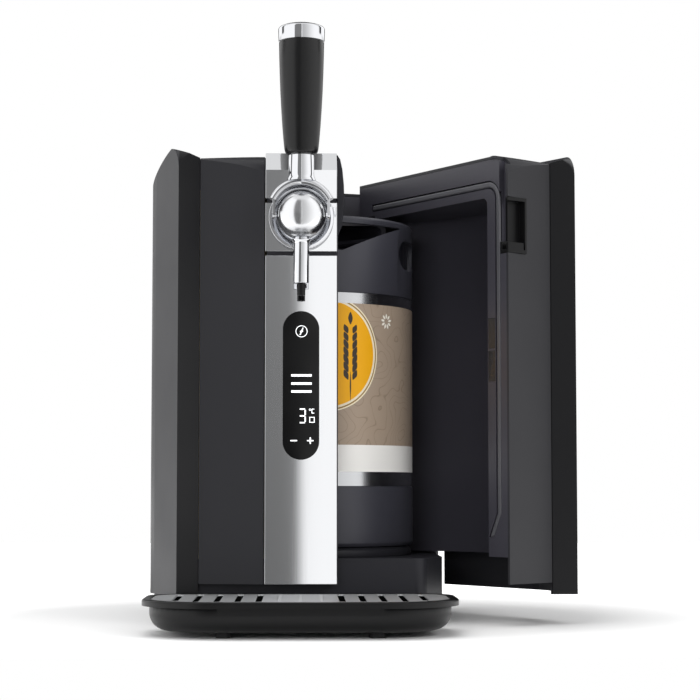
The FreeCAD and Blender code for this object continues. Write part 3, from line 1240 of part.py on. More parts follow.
def build():
    node("left_front_panel", left_front_panel())
    node("left_side_shell", left_side_shell())
    node("right_rear_shell", right_rear_shell())
    node("top_cover", top_cover())
    node("back_cover", back_cover())
    node("base_pan", base_pan())
    node("base_plate", base_plate())
    node("foot_ring", foot_ring())
    node("keg_seat_ring", keg_seat_ring())
    node("compartment_liner", compartment_liner())
    node("insulation", insulation())
    node("hinge_post", hinge_post())
    node("hinge_pins", hinge_pins())
    node("steel_fascia", steel_fascia())
    node("tap_middle_block", tap_middle_block())
    node("tap_upper_block", tap_upper_block())
    node("column_side_cover", column_side_cover())
    node("column_frame", column_frame())
    node("display_window", pill(0.0, PILL_T, COL_FACE + 0.2))
    node("display_board", display_board())
    node("tap_neck", tap_neck())
    node("tap_ball", tap_ball())
    node("tap_collar", tap_collar())
    node("tap_latch", tap_latch())
    node("spout_tube", spout_tube())
    node("beer_line", beer_line())
    node("lever_shaft", lever_shaft())
    node("lever_yoke", lever_yoke())
    node("lever_grip", lever_grip())
    node("grip_cap", grip_cap())
    node("keg_shell", keg_shell())
    node("keg_label", keg_label())
    node("keg_base_ring", keg_base_ring())
    node("keg_collar", keg_collar())
    node("keg_valve", keg_valve())
    door_node("door_skin", door_skin())
    door_node("door_front_panel", door_front_panel())
    door_node("door_pull", door_pull())
    door_node("door_liner", door_liner())
    door_node("door_foam", door_foam())
    door_node("door_seal", seal_bars(0.0))
    door_node("door_catch", catch_plates(0.0))
    door_node("door_knuckles", door_knuckles())
    node("drip_bowl", drip_bowl())
    node("drip_rim", drip_rim())
    node("tray_feet", tray_feet())
    node("drip_grille", drip_grille())
    node("cold_plate", cold_plate())
    node("cold_block", cold_block())
    node("thermoelectric_module", thermoelectric_module())
    node("heat_sink", heat_sink())
    node("fan_frame", fan_frame())
    node("fan_rotor", fan_rotor())
    node("power_supply", power_supply())
    node("control_board", control_board())
    node("air_pump", air_pump())
    node("air_line", air_line())
    node("mains_inlet", mains_inlet())
    node("switch_housing", switch_housing())
    node("power_rocker", power_rocker())


build()
os.makedirs("parts", exist_ok=True)
for name, shape in NODES.items():
    shape.exportStep("parts/" + name + ".step")
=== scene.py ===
import math

import bmesh
import bpy
from mathutils import Matrix, Vector


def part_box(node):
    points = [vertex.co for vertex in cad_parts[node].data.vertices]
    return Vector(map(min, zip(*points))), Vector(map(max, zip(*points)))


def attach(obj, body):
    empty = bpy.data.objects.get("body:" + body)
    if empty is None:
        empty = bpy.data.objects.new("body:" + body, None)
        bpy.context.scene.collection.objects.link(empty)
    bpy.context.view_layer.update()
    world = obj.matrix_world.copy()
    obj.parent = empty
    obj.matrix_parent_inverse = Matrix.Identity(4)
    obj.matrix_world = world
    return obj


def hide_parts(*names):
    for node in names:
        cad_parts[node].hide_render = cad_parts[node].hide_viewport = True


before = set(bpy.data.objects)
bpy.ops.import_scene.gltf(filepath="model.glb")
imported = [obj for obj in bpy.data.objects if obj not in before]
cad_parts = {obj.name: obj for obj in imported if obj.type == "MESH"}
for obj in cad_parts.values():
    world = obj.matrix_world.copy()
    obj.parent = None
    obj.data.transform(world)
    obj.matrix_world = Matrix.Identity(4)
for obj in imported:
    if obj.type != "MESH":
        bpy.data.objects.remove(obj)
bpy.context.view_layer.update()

# ---- Rubber feet ----
# One moulded ring of nitrile rubber under the base plate, pressed into a groove, and four pads under
# the tray. Moulding leaves the rubber matt, with a faint dusty sheen.
MM = 0.001


def srgb(text):
    """Linear colour of an sRGB hex value."""
    parts = [int(text[i:i + 2], 16) / 255 for i in (0, 2, 4)]
    return [c / 12.92 if c <= 0.04045 else ((c + 0.055) / 1.055) ** 2.4 for c in parts] + [1.0]


def add(material, kind, sockets=None, **settings):
    """One node, with its settings, and its sockets set to a value or linked from another node."""
    node = material.node_tree.nodes.new(kind)
    for name, value in settings.items():
        setattr(node, name, value)
    for name, value in (sockets or {}).items():
        if isinstance(value, bpy.types.NodeSocket):
            material.node_tree.links.new(value, node.inputs[name])
        else:
            node.inputs[name].default_value = value
    return node


def link(material, source, shader, socket):
    """Feeds a pattern into one of the shader's sockets."""
    material.node_tree.links.new(source, shader.inputs[socket])


def new_finish(name, colour, **sockets):
    """A material with its shader and the place on the object that its patterns read."""
    material = bpy.data.materials.new(name)
    material.use_nodes = True
    material.node_tree.nodes.clear()
    values = {"Base Color": srgb(colour)}
    values.update({key.replace("_", " "): value for key, value in sockets.items()})
    shader = add(material, "ShaderNodeBsdfPrincipled", values)
    add(material, "ShaderNodeOutputMaterial", {"Surface": shader.outputs[0]})
    place = add(material, "ShaderNodeTexCoord").outputs["Object"]
    return material, shader, place


def moulded(name, colour, roughness, grain, depth, **sockets):
    """Plastic or rubber from a spark-eroded mould: grain and depth of its texture in millimetres."""
    material, shader, place = new_finish(name, colour, **sockets)
    texture = add(material, "ShaderNodeTexNoise", {"Vector": place, "Scale": 1 / (grain * MM), "Detail": 3.0})
    # handling leaves the sheen uneven over a few centimetres
    cloud = add(material, "ShaderNodeTexNoise", {"Vector": place, "Scale": 18.0, "Detail": 2.0})
    sheen = add(material, "ShaderNodeMapRange", {"Value": cloud.outputs[0], "From Min": 0.3,
                "From Max": 0.7, "To Min": roughness - 0.03, "To Max": roughness + 0.03})
    bump = add(material, "ShaderNodeBump", {"Height": texture.outputs[0], "Strength": 1.0,
               "Distance": depth * MM})
    link(material, sheen.outputs[0], shader, "Roughness")
    link(material, bump.outputs[0], shader, "Normal")
    return material


def dress(material, *nodes):
    """The finish of these CAD nodes."""
    for name in nodes:
        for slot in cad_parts[name].material_slots:
            slot.link = "OBJECT"
            slot.material = material


foot_rubber = moulded("matt_nitrile_rubber", "1b1b1c", 0.75, 1.2, 0.02)
dress(foot_rubber, "foot_ring", "tray_feet")

# ---- Base plate and plinth ----
# The plate is pressed steel, powder coated; the plinth over it is black ABS, moulded with a fine
# spark-eroded grain that scatters its highlights.
MERGE = 0.002 * MM
EASED_FROM = math.radians(32)


def ease(width, *nodes):
    """Rounds the sharp edges of these CAD nodes, as a mould or a press does; width in millimetres."""
    for name in nodes:
        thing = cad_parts[name]
        weld = thing.modifiers.new("joined faces", "WELD")
        weld.merge_threshold = MERGE
        bevel = thing.modifiers.new("eased edges", "BEVEL")
        bevel.width = width * MM
        bevel.segments = 2
        bevel.limit_method = "ANGLE"
        bevel.angle_limit = EASED_FROM
        bevel.harden_normals = True
        bevel.use_clamp_overlap = True


plate_coat = moulded("powder_coated_steel", "3a3a3c", 0.6, 0.8, 0.02)
plinth_abs = moulded("grained_black_abs", "232327", 0.42, 0.5, 0.006, Specular_IOR_Level=0.25)
dress(plate_coat, "base_plate")
dress(plinth_abs, "base_pan", "keg_seat_ring")
ease(1.2, "base_pan")
ease(0.6, "keg_seat_ring")

# ---- Liners and foam ----
# The keg's room and the door are lined with vacuum-formed ABS sheet, satin, with foam behind it.
# The foam is poured polyurethane: open cut faces show round cells.
liner_abs = moulded("satin_vacuum_formed_abs", "36353c", 0.38, 2.5, 0.004)
dress(liner_abs, "compartment_liner", "door_liner")
foam, foam_shader, foam_place = new_finish("poured_polyurethane_foam", "cdbf97", Roughness=0.9)
# cells of about 0.8 mm, drawn at 1.5 mm so that they show
cells = add(foam, "ShaderNodeTexVoronoi", {"Vector": foam_place, "Scale": 1 / (1.5 * MM)})
cell_bump = add(foam, "ShaderNodeBump", {"Height": cells.outputs["Distance"], "Strength": 0.8,
                "Distance": 0.5 * MM})
link(foam, cell_bump.outputs[0], foam_shader, "Normal")
dress(foam, "insulation", "door_foam")

# ---- Cooling unit ----
# An extruded aluminium sink and a machined block on a ceramic cooling module, and a cold plate of
# rolled aluminium sheet behind the keg. Extrusion and rolling leave fine straight lines.


def straight_lines(material, shader, place, per_metre, strength, depth):
    """The lines that drawing, rolling or brushing leaves: lines a metre on each axis, depth in mm."""
    stretch = add(material, "ShaderNodeMapping", {"Vector": place, "Scale": per_metre})
    grooves = add(material, "ShaderNodeTexNoise", {"Vector": stretch.outputs[0], "Scale": 1.0, "Detail": 2.0})
    bump = add(material, "ShaderNodeBump", {"Height": grooves.outputs[0], "Strength": strength,
               "Distance": depth * MM})
    link(material, bump.outputs[0], shader, "Normal")
    return grooves


metal, metal_shader, metal_place = new_finish("extruded_aluminium", "b4b6b9", Metallic=1.0, Roughness=0.38)
# draw lines 0.4 mm apart along Z, drawn at 0.8 mm
straight_lines(metal, metal_shader, metal_place, (1250, 1250, 25), 0.5, 0.01)
dress(metal, "cold_plate", "cold_block", "heat_sink")
ceramic = moulded("fired_alumina", "e6e4de", 0.55, 0.6, 0.004)
dress(ceramic, "thermoelectric_module")

# ---- Fan, pump, supply and boards ----
# Glass-filled nylon for the fan, the pump and the supply's case, slightly rough where fibres reach
# the surface. The boards are green solder mask over copper: the tracks stand out as paler lines.
nylon = moulded("glass_filled_nylon", "1e1f21", 0.5, 0.7, 0.02)
dress(nylon, "fan_frame", "fan_rotor", "air_pump", "power_supply")
board, board_shader, board_place = new_finish("solder_mask", "14502c", Roughness=0.35)
# tracks 4 mm apart, with cross tracks every 8 mm
tracks = add(board, "ShaderNodeTexBrick", {"Vector": board_place, "Scale": 60.0, "Color1": srgb("14502c"),
             "Color2": srgb("18592f"), "Mortar": srgb("3f8a52"), "Mortar Size": 0.012})
link(board, tracks.outputs["Color"], board_shader, "Base Color")
dress(board, "control_board", "display_board")

# ---- Lines, inlet and switch ----
# The air line and the beer line are black silicone hose. The inlet and the switch are moulded in
# glossy black polycarbonate, and the switch's key is a shade greyer.
silicone = moulded("black_silicone_hose", "0b0b0c", 0.35, 0.9, 0.004, Specular_IOR_Level=0.25)
dress(silicone, "air_line", "beer_line")
polycarbonate = moulded("glossy_polycarbonate", "161617", 0.22, 1.5, 0.003)
dress(polycarbonate, "mains_inlet", "switch_housing")
ease(0.5, "mains_inlet", "switch_housing")
key_plastic = moulded("moulded_switch_key", "2e2f32", 0.35, 0.8, 0.004)
dress(key_plastic, "power_rocker")
ease(0.6, "power_rocker")

# ---- Hinge ----
# A post on the body and knuckles on the door, moulded in black acetal and screwed on, turn on two
# ground steel pins. Acetal is waxy and a little shiny.
acetal = moulded("black_acetal", "0b0b0c", 0.38, 0.7, 0.006, Specular_IOR_Level=0.2)
dress(acetal, "hinge_post", "door_knuckles")
ease(0.6, "hinge_post", "door_knuckles")
pin_steel = moulded("ground_steel_pin", "a8a9ac", 0.3, 0.5, 0.002, Metallic=1.0)
dress(pin_steel, "hinge_pins")

# ---- Skins ----
# Graphite ABS panels, moulded with a soft satin grain and clipped to each other over 0.4 mm seams.
# The same plastic makes the front panels, the sides, the lid and the door.
GRAPHITE = "29292c"
graphite = moulded("satin_graphite_abs", GRAPHITE, 0.4, 0.45, 0.005, Specular_IOR_Level=0.25)
# the wings' chamfers get painted shade, a darker strip: left of the tap, and on the open door
LEFT_CHAMFER_SHADE = (-103.6, -86.1)
LEFT_CHAMFER_SHADE_FRONT = -100.0
DOOR_CHAMFER_SHADE = 214.6
DOOR_CHAMFER_SHADE_FRONT = -98.6
skin_nodes = graphite.node_tree.nodes
skin_shader = next(node for node in skin_nodes if node.type == "BSDF_PRINCIPLED")
skin_place = next(node for node in skin_nodes if node.type == "TEX_COORD").outputs["Object"]
skin_xyz = add(graphite, "ShaderNodeSeparateXYZ", {"Vector": skin_place})
edges = []
for axis, limit, side in (("X", LEFT_CHAMFER_SHADE[0], "GREATER_THAN"), ("X", LEFT_CHAMFER_SHADE[1], "LESS_THAN"),
                          ("Y", LEFT_CHAMFER_SHADE_FRONT, "LESS_THAN"), ("X", DOOR_CHAMFER_SHADE, "GREATER_THAN"),
                          ("Y", DOOR_CHAMFER_SHADE_FRONT, "LESS_THAN")):
    edge = add(graphite, "ShaderNodeMath", {0: skin_xyz.outputs[axis], 1: limit * MM}, operation=side)
    edges.append(edge.outputs[0])
left_shade_across = add(graphite, "ShaderNodeMath", {0: edges[0], 1: edges[1]}, operation="MULTIPLY")
left_painted_shade = add(graphite, "ShaderNodeMath", {0: left_shade_across.outputs[0], 1: edges[2]}, operation="MULTIPLY")
door_painted_shade = add(graphite, "ShaderNodeMath", {0: edges[3], 1: edges[4]}, operation="MULTIPLY")
painted_shade = add(graphite, "ShaderNodeMath", {0: left_painted_shade.outputs[0], 1: door_painted_shade.outputs[0]},
            operation="MAXIMUM")
# painted shade: inside these strips the skin's colour turns near black
skin_tone_with_painted_shade = add(graphite, "ShaderNodeMix", {"Factor": painted_shade.outputs[0], 6: srgb(GRAPHITE), 7: srgb("0e0e10")},
                data_type="RGBA")
link(graphite, skin_tone_with_painted_shade.outputs[2], skin_shader, "Base Color")
dress(graphite, "left_front_panel", "left_side_shell", "right_rear_shell", "top_cover",
      "door_skin", "door_front_panel")
ease(0.5, "left_front_panel", "right_rear_shell", "top_cover", "door_front_panel")
ease(0.9, "left_side_shell", "door_skin")

# ---- Back ----
# The back is the darker plinth plastic with louvred slots, held by six cross-head screws of
# blackened steel.
dress(plinth_abs, "back_cover")
ease(0.4, "back_cover")
screw_steel = moulded("blackened_steel_screw", "2a2a2c", 0.35, 0.6, 0.003, Metallic=0.9)


def finished(name, shape, material, body):
    """A new piece from a bmesh, smooth where its faces meet gently, riding on a CAD body."""
    bmesh.ops.remove_doubles(shape, verts=shape.verts, dist=0.001 * MM)
    bmesh.ops.recalc_face_normals(shape, faces=shape.faces)
    mesh = bpy.data.meshes.new(name)
    shape.to_mesh(mesh)
    shape.free()
    mesh.materials.append(material)
    mesh.shade_smooth()
    mesh.set_sharp_from_angle(angle=math.radians(35))
    thing = bpy.data.objects.new(name, mesh)
    bpy.context.scene.collection.objects.link(thing)
    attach(thing, body)
    return thing


SCREW_X = 112 * MM
SCREW_ROWS = (44, 200, 366)
SCREW_R = 3.4 * MM
SCREW_T = 1.2 * MM
CROSS_DEEP = 0.45 * MM
CROSS_CUT = Matrix.Diagonal((3.6 * MM, 0.7 * MM, 0.4 * MM, 1))
FACING_BACK = Matrix.Rotation(math.radians(90), 4, "X")
INSIDE_OUT = Matrix.Scale(-1, 4, (0, 0, 1))
back_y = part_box("back_cover")[1].y
screws = bmesh.new()
for x in (-SCREW_X, SCREW_X):
    for z in SCREW_ROWS:
        head = Matrix.Translation((x, back_y, z * MM)) @ FACING_BACK
        bmesh.ops.create_cone(screws, segments=24, radius1=SCREW_R, radius2=SCREW_R * 0.8, depth=SCREW_T,
                              cap_ends=True, matrix=head @ INSIDE_OUT)
        for turn in (0, 90):
            cross = Matrix.Translation((0, 0, -CROSS_DEEP)) @ Matrix.Rotation(math.radians(turn), 4, "Z")
            bmesh.ops.create_cube(screws, size=1.0, matrix=head @ cross @ CROSS_CUT)
finished("back_screws", screws, screw_steel, "cabinet")

# ---- Column ----
# Folded stainless sheet, polished almost to a mirror with the last grinding lines running upwards,
# on a black ABS channel.
fascia_steel, fascia_shader, fascia_place = new_finish("polished_stainless_sheet", "d8d9db", Metallic=1.0)
# grinding lines 0.15 mm apart, drawn at 0.5 mm
lines = straight_lines(fascia_steel, fascia_shader, fascia_place, (2000, 2000, 12), 0.2, 0.0004)
line_sheen = add(fascia_steel, "ShaderNodeMapRange", {"Value": lines.outputs[0], "To Min": 0.02,
                 "To Max": 0.05})
link(fascia_steel, line_sheen.outputs[0], fascia_shader, "Roughness")
dress(fascia_steel, "steel_fascia", "tap_middle_block", "tap_upper_block")
ease(0.5, "steel_fascia", "tap_middle_block", "tap_upper_block")
dress(plinth_abs, "column_frame", "column_side_cover")
ease(0.8, "column_side_cover")

# ---- Display ----
# A black acrylic window behind the steel, with a thin steel rim pressed round the opening.
# Cast acrylic is a flat dark mirror.
acrylic = moulded("black_acrylic_window", "050506", 0.06, 3.0, 0.001, Specular_IOR_Level=0.22)
dress(acrylic, "display_window")
window_low, window_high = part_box("display_window")
WINDOW_R = (window_high.x - window_low.x) / 2
RIM_W = 0.9 * MM
RIM_LAP = 0.1 * MM
RIM_T = 0.35 * MM
RIM_GAP = 0.02 * MM
rim = bmesh.new()
bmesh.ops.create_circle(rim, segments=96, radius=WINDOW_R + RIM_W)
bmesh.ops.create_circle(rim, segments=96, radius=WINDOW_R - RIM_LAP)
bmesh.ops.bridge_loops(rim, edges=rim.edges[:])
half_run = (window_high.z - window_low.z) / 2 - WINDOW_R
for v in rim.verts:
    v.co.y += half_run if v.co.y > 0 else -half_run
raised = bmesh.ops.extrude_face_region(rim, geom=rim.faces[:])
for v in raised["geom"]:
    if isinstance(v, bmesh.types.BMVert):
        v.co.z += RIM_T
bmesh.ops.rotate(rim, verts=rim.verts, matrix=Matrix.Rotation(math.radians(90), 3, "X"))
fascia_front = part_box("steel_fascia")[0].y
middle_z = (window_low.z + window_high.z) / 2
bmesh.ops.translate(rim, verts=rim.verts, vec=(0, fascia_front + RIM_GAP, middle_z))
finished("window_rim", rim, fascia_steel, "cabinet")

# ---- Display symbols ----
# White symbols lit from behind: a power mark, three level bars, a figure with degrees and a small
# keg, and the minus and plus keys. Each is a thin flat plate on the window.
lit, lit_shader, lit_place = new_finish("lit_display_symbol", "f2f4f6", Emission_Color=srgb("f4f6f8"),
                                        Emission_Strength=0.9)
# the diffuser's fine frosting, 2.5 mm
glow = add(lit, "ShaderNodeTexNoise", {"Vector": lit_place, "Scale": 400.0})
glow_range = add(lit, "ShaderNodeMapRange", {"Value": glow.outputs[0], "To Min": 0.35, "To Max": 0.45})
link(lit, glow_range.outputs[0], lit_shader, "Roughness")
MARK_T = 0.05
MARK_Y = window_low.y - 0.03 * MM
marks = bmesh.new()


def bar(x, z, w, h, lean=0.0):
    """A flat lit bar on the window, centre and size in millimetres, leaning by an angle in degrees."""
    put = Matrix.Translation((x * MM, MARK_Y, z * MM)) @ Matrix.Rotation(math.radians(lean), 4, "Y")
    bmesh.ops.create_cube(marks, size=1.0, matrix=put @ Matrix.Diagonal((w * MM, MARK_T * MM, h * MM, 1)))


def ring(x, z, outer, inner, segments=40):
    """A flat lit ring, in millimetres."""
    put = Matrix.Translation((x * MM, MARK_Y, z * MM)) @ Matrix.Rotation(math.radians(90), 4, "X")
    circles = []
    for radius in (outer, inner):
        made = bmesh.ops.create_circle(marks, segments=segments, radius=radius * MM, matrix=put)
        circles.append(made["verts"])
    loops = [edge for edge in marks.edges
             if any(edge.verts[0] in verts and edge.verts[1] in verts for verts in circles)]
    bmesh.ops.bridge_loops(marks, edges=loops)


# power mark: a ring with a small flash in it
ring(0.4, 248.3, 5.0, 4.45)
bar(1.0, 249.8, 0.9, 3.4, 25)
bar(0.4, 248.3, 2.6, 0.8)
bar(-0.2, 246.8, 0.9, 3.4, 25)
# three level bars
for z in (211.1, 204.2, 197.5):
    bar(0.4, z, 17.2, 1.9)
# a figure three from five segments
for z in (182.7, 177.0, 171.3):
    bar(1.2, z, 4.4, 1.1)
for z in (179.9, 174.2):
    bar(3.6, z, 1.1, 4.4)
# degrees
ring(7.6, 182.2, 0.9, 0.5, 20)
for z in (182.7, 179.3):
    bar(10.2, z, 2.0, 0.6)
bar(9.2, 181.0, 0.6, 3.6)
# a small keg symbol
for z in (175.8, 171.6):
    bar(9.3, z, 4.0, 0.6)
for x in (7.4, 11.2):
    bar(x, 173.7, 0.6, 4.6)
# minus and plus keys
bar(-6.0, 156.2, 5.6, 1.0)
bar(7.9, 156.2, 5.4, 1.0)
bar(7.9, 156.2, 1.0, 5.4)
finished("display_symbols", marks, lit, "cabinet")

# ---- Tap ----
# Zinc castings, polished and chromium plated: the spigot and cup ring, the latch lug and the spout.
# Plating gives an even mirror with soft waves from the casting.
chrome, chrome_shader, chrome_place = new_finish("plated_chromium", "d9dadd", Metallic=1.0, Roughness=0.05)
# waves about 9 mm long
waves = add(chrome, "ShaderNodeTexNoise", {"Vector": chrome_place, "Scale": 110.0, "Detail": 1.0})
wave_bump = add(chrome, "ShaderNodeBump", {"Height": waves.outputs[0], "Strength": 0.25,
                "Distance": 0.05 * MM})
link(chrome, wave_bump.outputs[0], chrome_shader, "Normal")
dress(chrome, "tap_neck", "tap_collar", "tap_latch", "spout_tube", "lever_shaft")
ease(0.6, "tap_collar", "tap_latch", "spout_tube")
# the hollow ball is blasted before it is plated, so its mirror is softer
satin, satin_shader, satin_place = new_finish("satin_plated_chromium", "dfe0e2", Metallic=1.0)
# blasting marks of 0.2 mm, drawn at 0.6 mm
blast = add(satin, "ShaderNodeTexNoise", {"Vector": satin_place, "Scale": 1 / (0.6 * MM), "Detail": 2.0})
blast_sheen = add(satin, "ShaderNodeMapRange", {"Value": blast.outputs[0], "To Min": 0.14, "To Max": 0.24})
blast_bump = add(satin, "ShaderNodeBump", {"Height": blast.outputs[0], "Strength": 0.3,
                 "Distance": 0.01 * MM})
link(satin, blast_sheen.outputs[0], satin_shader, "Roughness")
link(satin, blast_bump.outputs[0], satin_shader, "Normal")
dress(satin, "tap_ball")

# ---- Grip and cap ----
# The grip is turned beech with a soft-touch black lacquer, and its cap is plated like the tap.
# Both are turned shapes on the yoke's stud.
lacquer = moulded("soft_touch_lacquer", "0c0c0d", 0.3, 0.6, 0.003, Specular_IOR_Level=0.35)


def turned(profile, y, z, steps=96):
    """A shape turned about an upright axis in the middle plane, from (radius, height) in millimetres."""
    shape = bmesh.new()
    points = [shape.verts.new((r * MM, y, z + up * MM)) for r, up in profile]
    chain = [shape.edges.new(pair) for pair in zip(points, points[1:])]
    bmesh.ops.spin(shape, geom=points + chain, cent=(0, y, 0), axis=(0, 0, 1), angle=math.tau,
                   steps=steps, use_merge=True)
    return shape


ball_low, ball_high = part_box("tap_ball")
BALL = (ball_low + ball_high) / 2
grip_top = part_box("lever_grip")[1].z
GRIP_H = 95.3
# radius, and height above the grip's foot
GRIP = [(0, 0), (9.6, 0), (11.2, 0.2), (12.5, 0.9), (13.5, 2.2), (14.1, 4.0), (14.5, 7), (15.1, 13),
        (16.0, 24), (16.9, 38), (17.7, 53), (18.3, 69), (18.7, 83), (18.9, 94.6), (18.6, GRIP_H), (0, GRIP_H)]
grip = finished("turned_grip", turned(GRIP, BALL.y, grip_top - GRIP_H * MM), lacquer, "tap_lever")
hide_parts("lever_grip")
# radius, and height above the grip
CAP = [(0, 0), (18.7, 0), (19.2, 0.3), (19.3, 1), (19.5, 10.3), (19.45, 11.1), (19.0, 11.9), (18.2, 12.6),
       (15.5, 13.7), (11, 14.9), (6, 15.8), (2, 16.15), (0, 16.2)]
cap = finished("plated_cap", turned(CAP, BALL.y, grip_top), chrome, "tap_lever")
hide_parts("grip_cap")

# ---- Yoke ----
# One casting with a rounded saddle over the ball, two flat ears on the cross shaft and the stem,
# polished and plated like the tap. A steel stud runs up from the stem into the grip.
yoke_top = (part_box("lever_yoke")[1].z - BALL.z) / MM
# radius, and height above the ball's centre
STEM = [(0, 27), (12.2, 27.2), (11.9, 28.6), (11.2, 29.9), (10.75, 31.2), (10.6, 33), (10.6, 50.4),
        (10.0, 51.3), (4, 51.3), (4, yoke_top), (0, yoke_top)]
yoke = turned(STEM, BALL.y, BALL.z)
# the saddle's section: radius from the shaft, and depth
SADDLE = [(23.0, -5.4), (23.5, -6.6), (24.5, -7.3), (25.8, -7.5), (27.4, -7.2), (28.7, -6.2), (29.4, -4.6),
          (29.6, -2.6), (29.6, 5.6), (29.0, 6.9), (27.6, 7.5), (24.6, 7.4), (23.4, 6.8), (23.0, 5.8)]
SADDLE_END = math.radians(26)
section = []
for out, deep in SADDLE:
    across, up = out * MM * math.cos(SADDLE_END), out * MM * math.sin(SADDLE_END)
    section.append(yoke.verts.new((across, BALL.y + deep * MM, BALL.z + up)))
section_edges = [yoke.edges.new(pair) for pair in zip(section, section[1:] + section[:1])]
bmesh.ops.spin(yoke, geom=section + section_edges, cent=BALL, axis=(0, -1, 0),
               angle=math.pi - 2 * SADDLE_END, steps=72)
bmesh.ops.holes_fill(yoke, edges=[edge for edge in yoke.edges if edge.is_boundary], sides=len(SADDLE))
# the ears: a half disc round the shaft, and straight sides up into the saddle
EAR_IN, EAR_OUT, EAR_R, EAR_H = 21.7, 23.9, 4.6, 14.0
EAR_EDGE = 0.5 * MM
half_disc = [math.radians(180 + 180 * i / 16) for i in range(17)]
EAR = [(EAR_R * math.cos(a), EAR_R * math.sin(a)) for a in half_disc] + [(EAR_R, EAR_H), (-EAR_R, EAR_H)]
for side in (-1, 1):
    ear_verts = [yoke.verts.new((side * EAR_IN * MM, BALL.y + a * MM, BALL.z + b * MM)) for a, b in EAR]
    ear_face = yoke.faces.new(ear_verts)
    grown = bmesh.ops.extrude_face_region(yoke, geom=[ear_face])["geom"]
    outer = [piece for piece in grown if isinstance(piece, bmesh.types.BMVert)]
    bmesh.ops.translate(yoke, verts=outer, vec=(side * (EAR_OUT - EAR_IN) * MM, 0, 0))
    sharp = [edge for edge in yoke.edges if edge.verts[0] in outer and edge.verts[1] in outer]
    bmesh.ops.bevel(yoke, geom=sharp, offset=EAR_EDGE, affect="EDGES", segments=2, profile=0.5, material=-1)
yoke_piece = finished("plated_yoke", yoke, chrome, "tap_lever")
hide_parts("lever_yoke")

# ---- Keg ----
# A barrel of satin stainless steel with bright rolled rings, and a crown and foot ring of blue-grey
# polypropylene. The coupler on its valve is black acetal.
barrel, barrel_shader, barrel_place = new_finish("rolled_stainless_barrel", "c4c5c7", Metallic=1.0,
                                                 Roughness=0.2)
# rolling lines run round the barrel, 0.3 mm apart, drawn at 1 mm
straight_lines(barrel, barrel_shader, barrel_place, (8, 8, 1000), 0.3, 0.01)
dress(barrel, "keg_shell")
crown_plastic = moulded("blue_grey_polypropylene", "34343b", 0.45, 0.8, 0.008)
dress(crown_plastic, "keg_base_ring", "keg_collar")
ease(1.0, "keg_collar")
ease(0.8, "keg_base_ring")
dress(acetal, "keg_valve")

# ---- Label ----
# Matt film with a beige ground, fine drifting contour lines, a golden disc in a pale ring, and a
# white band below. The pattern follows the barrel: arc length across, height up.
LABEL_R = 100.85 * MM
WHITE_BAND_TOP = 153.6 * MM
film, film_shader, film_place = new_finish("printed_matt_film", "9c8a78", Roughness=0.42)
film_xyz = add(film, "ShaderNodeSeparateXYZ", {"Vector": film_place})
front = add(film, "ShaderNodeMath", {0: film_xyz.outputs["Y"], 1: -1.0}, operation="MULTIPLY")
angle = add(film, "ShaderNodeMath", {0: film_xyz.outputs["X"], 1: front.outputs[0]}, operation="ARCTAN2")
along = add(film, "ShaderNodeMath", {0: angle.outputs[0], 1: LABEL_R}, operation="MULTIPLY")
flat = add(film, "ShaderNodeCombineXYZ", {"X": along.outputs[0], "Y": film_xyz.outputs["Z"], "Z": 0.0})
# contours of a noise of about 45 mm, in 16 steps from low to high, each line an eighth of a step
drift = add(film, "ShaderNodeTexNoise", {"Vector": flat.outputs[0], "Scale": 22.0, "Detail": 1.5})
bands = add(film, "ShaderNodeMath", {0: drift.outputs[0], 1: 16.0}, operation="MULTIPLY")
saw = add(film, "ShaderNodeMath", {0: bands.outputs[0]}, operation="FRACT")
contour = add(film, "ShaderNodeMapRange", {"Value": saw.outputs[0], "From Min": 0.0, "From Max": 0.12,
              "To Min": 1.0, "To Max": 0.0})
ground = add(film, "ShaderNodeMix", {"Factor": contour.outputs[0], 6: srgb("a08f7e"), 7: srgb("857463")},
             data_type="RGBA")
# the disc and its rings, as tenths of a metre from its centre
DISC_X, DISC_Z, DISC_R = 22.0, 232.0, 50.0
shift = add(film, "ShaderNodeVectorMath", {0: flat.outputs[0], 1: (DISC_X * MM, DISC_Z * MM, 0)},
            operation="SUBTRACT")
reach = add(film, "ShaderNodeVectorMath", {0: shift.outputs[0]}, operation="LENGTH")
tenths = add(film, "ShaderNodeMath", {0: reach.outputs["Value"], 1: 10.0}, operation="MULTIPLY")
disc = add(film, "ShaderNodeValToRGB", {"Fac": tenths.outputs[0]})
disc.color_ramp.interpolation = "CONSTANT"
disc.color_ramp.elements[0].color = srgb("e9a712")
disc.color_ramp.elements[1].position = 0.455
disc.color_ramp.elements[1].color = srgb("eadfc4")
for spot, colour in ((0.475, "8a6a2c"), (0.485, "eadfc4")):
    stop = disc.color_ramp.elements.new(spot)
    stop.color = srgb(colour)
inside = add(film, "ShaderNodeMath", {0: reach.outputs["Value"], 1: DISC_R * MM}, operation="LESS_THAN")
printed = add(film, "ShaderNodeMix", {"Factor": inside.outputs[0], 6: ground.outputs[2], 7: disc.outputs[0]},
              data_type="RGBA")
below = add(film, "ShaderNodeMath", {0: film_xyz.outputs["Z"], 1: WHITE_BAND_TOP}, operation="LESS_THAN")
whole = add(film, "ShaderNodeMix", {"Factor": below.outputs[0], 6: printed.outputs[2], 7: srgb("eceae6")},
            data_type="RGBA")
link(film, whole.outputs[2], film_shader, "Base Color")
dress(film, "keg_label")

# ---- Print on the label ----
# The disc carries a barley ear in dark brown, and a small pale rosette sits beside it: print on
# the film, each grain its own thin leaf of ink.
ink = moulded("dark_brown_ink", "2b2118", 0.45, 0.6, 0.002)
pale_ink = moulded("pale_ink", "ece7dc", 0.45, 0.6, 0.002)
INK_T = 0.05 * MM
PRINT_R = LABEL_R + INK_T


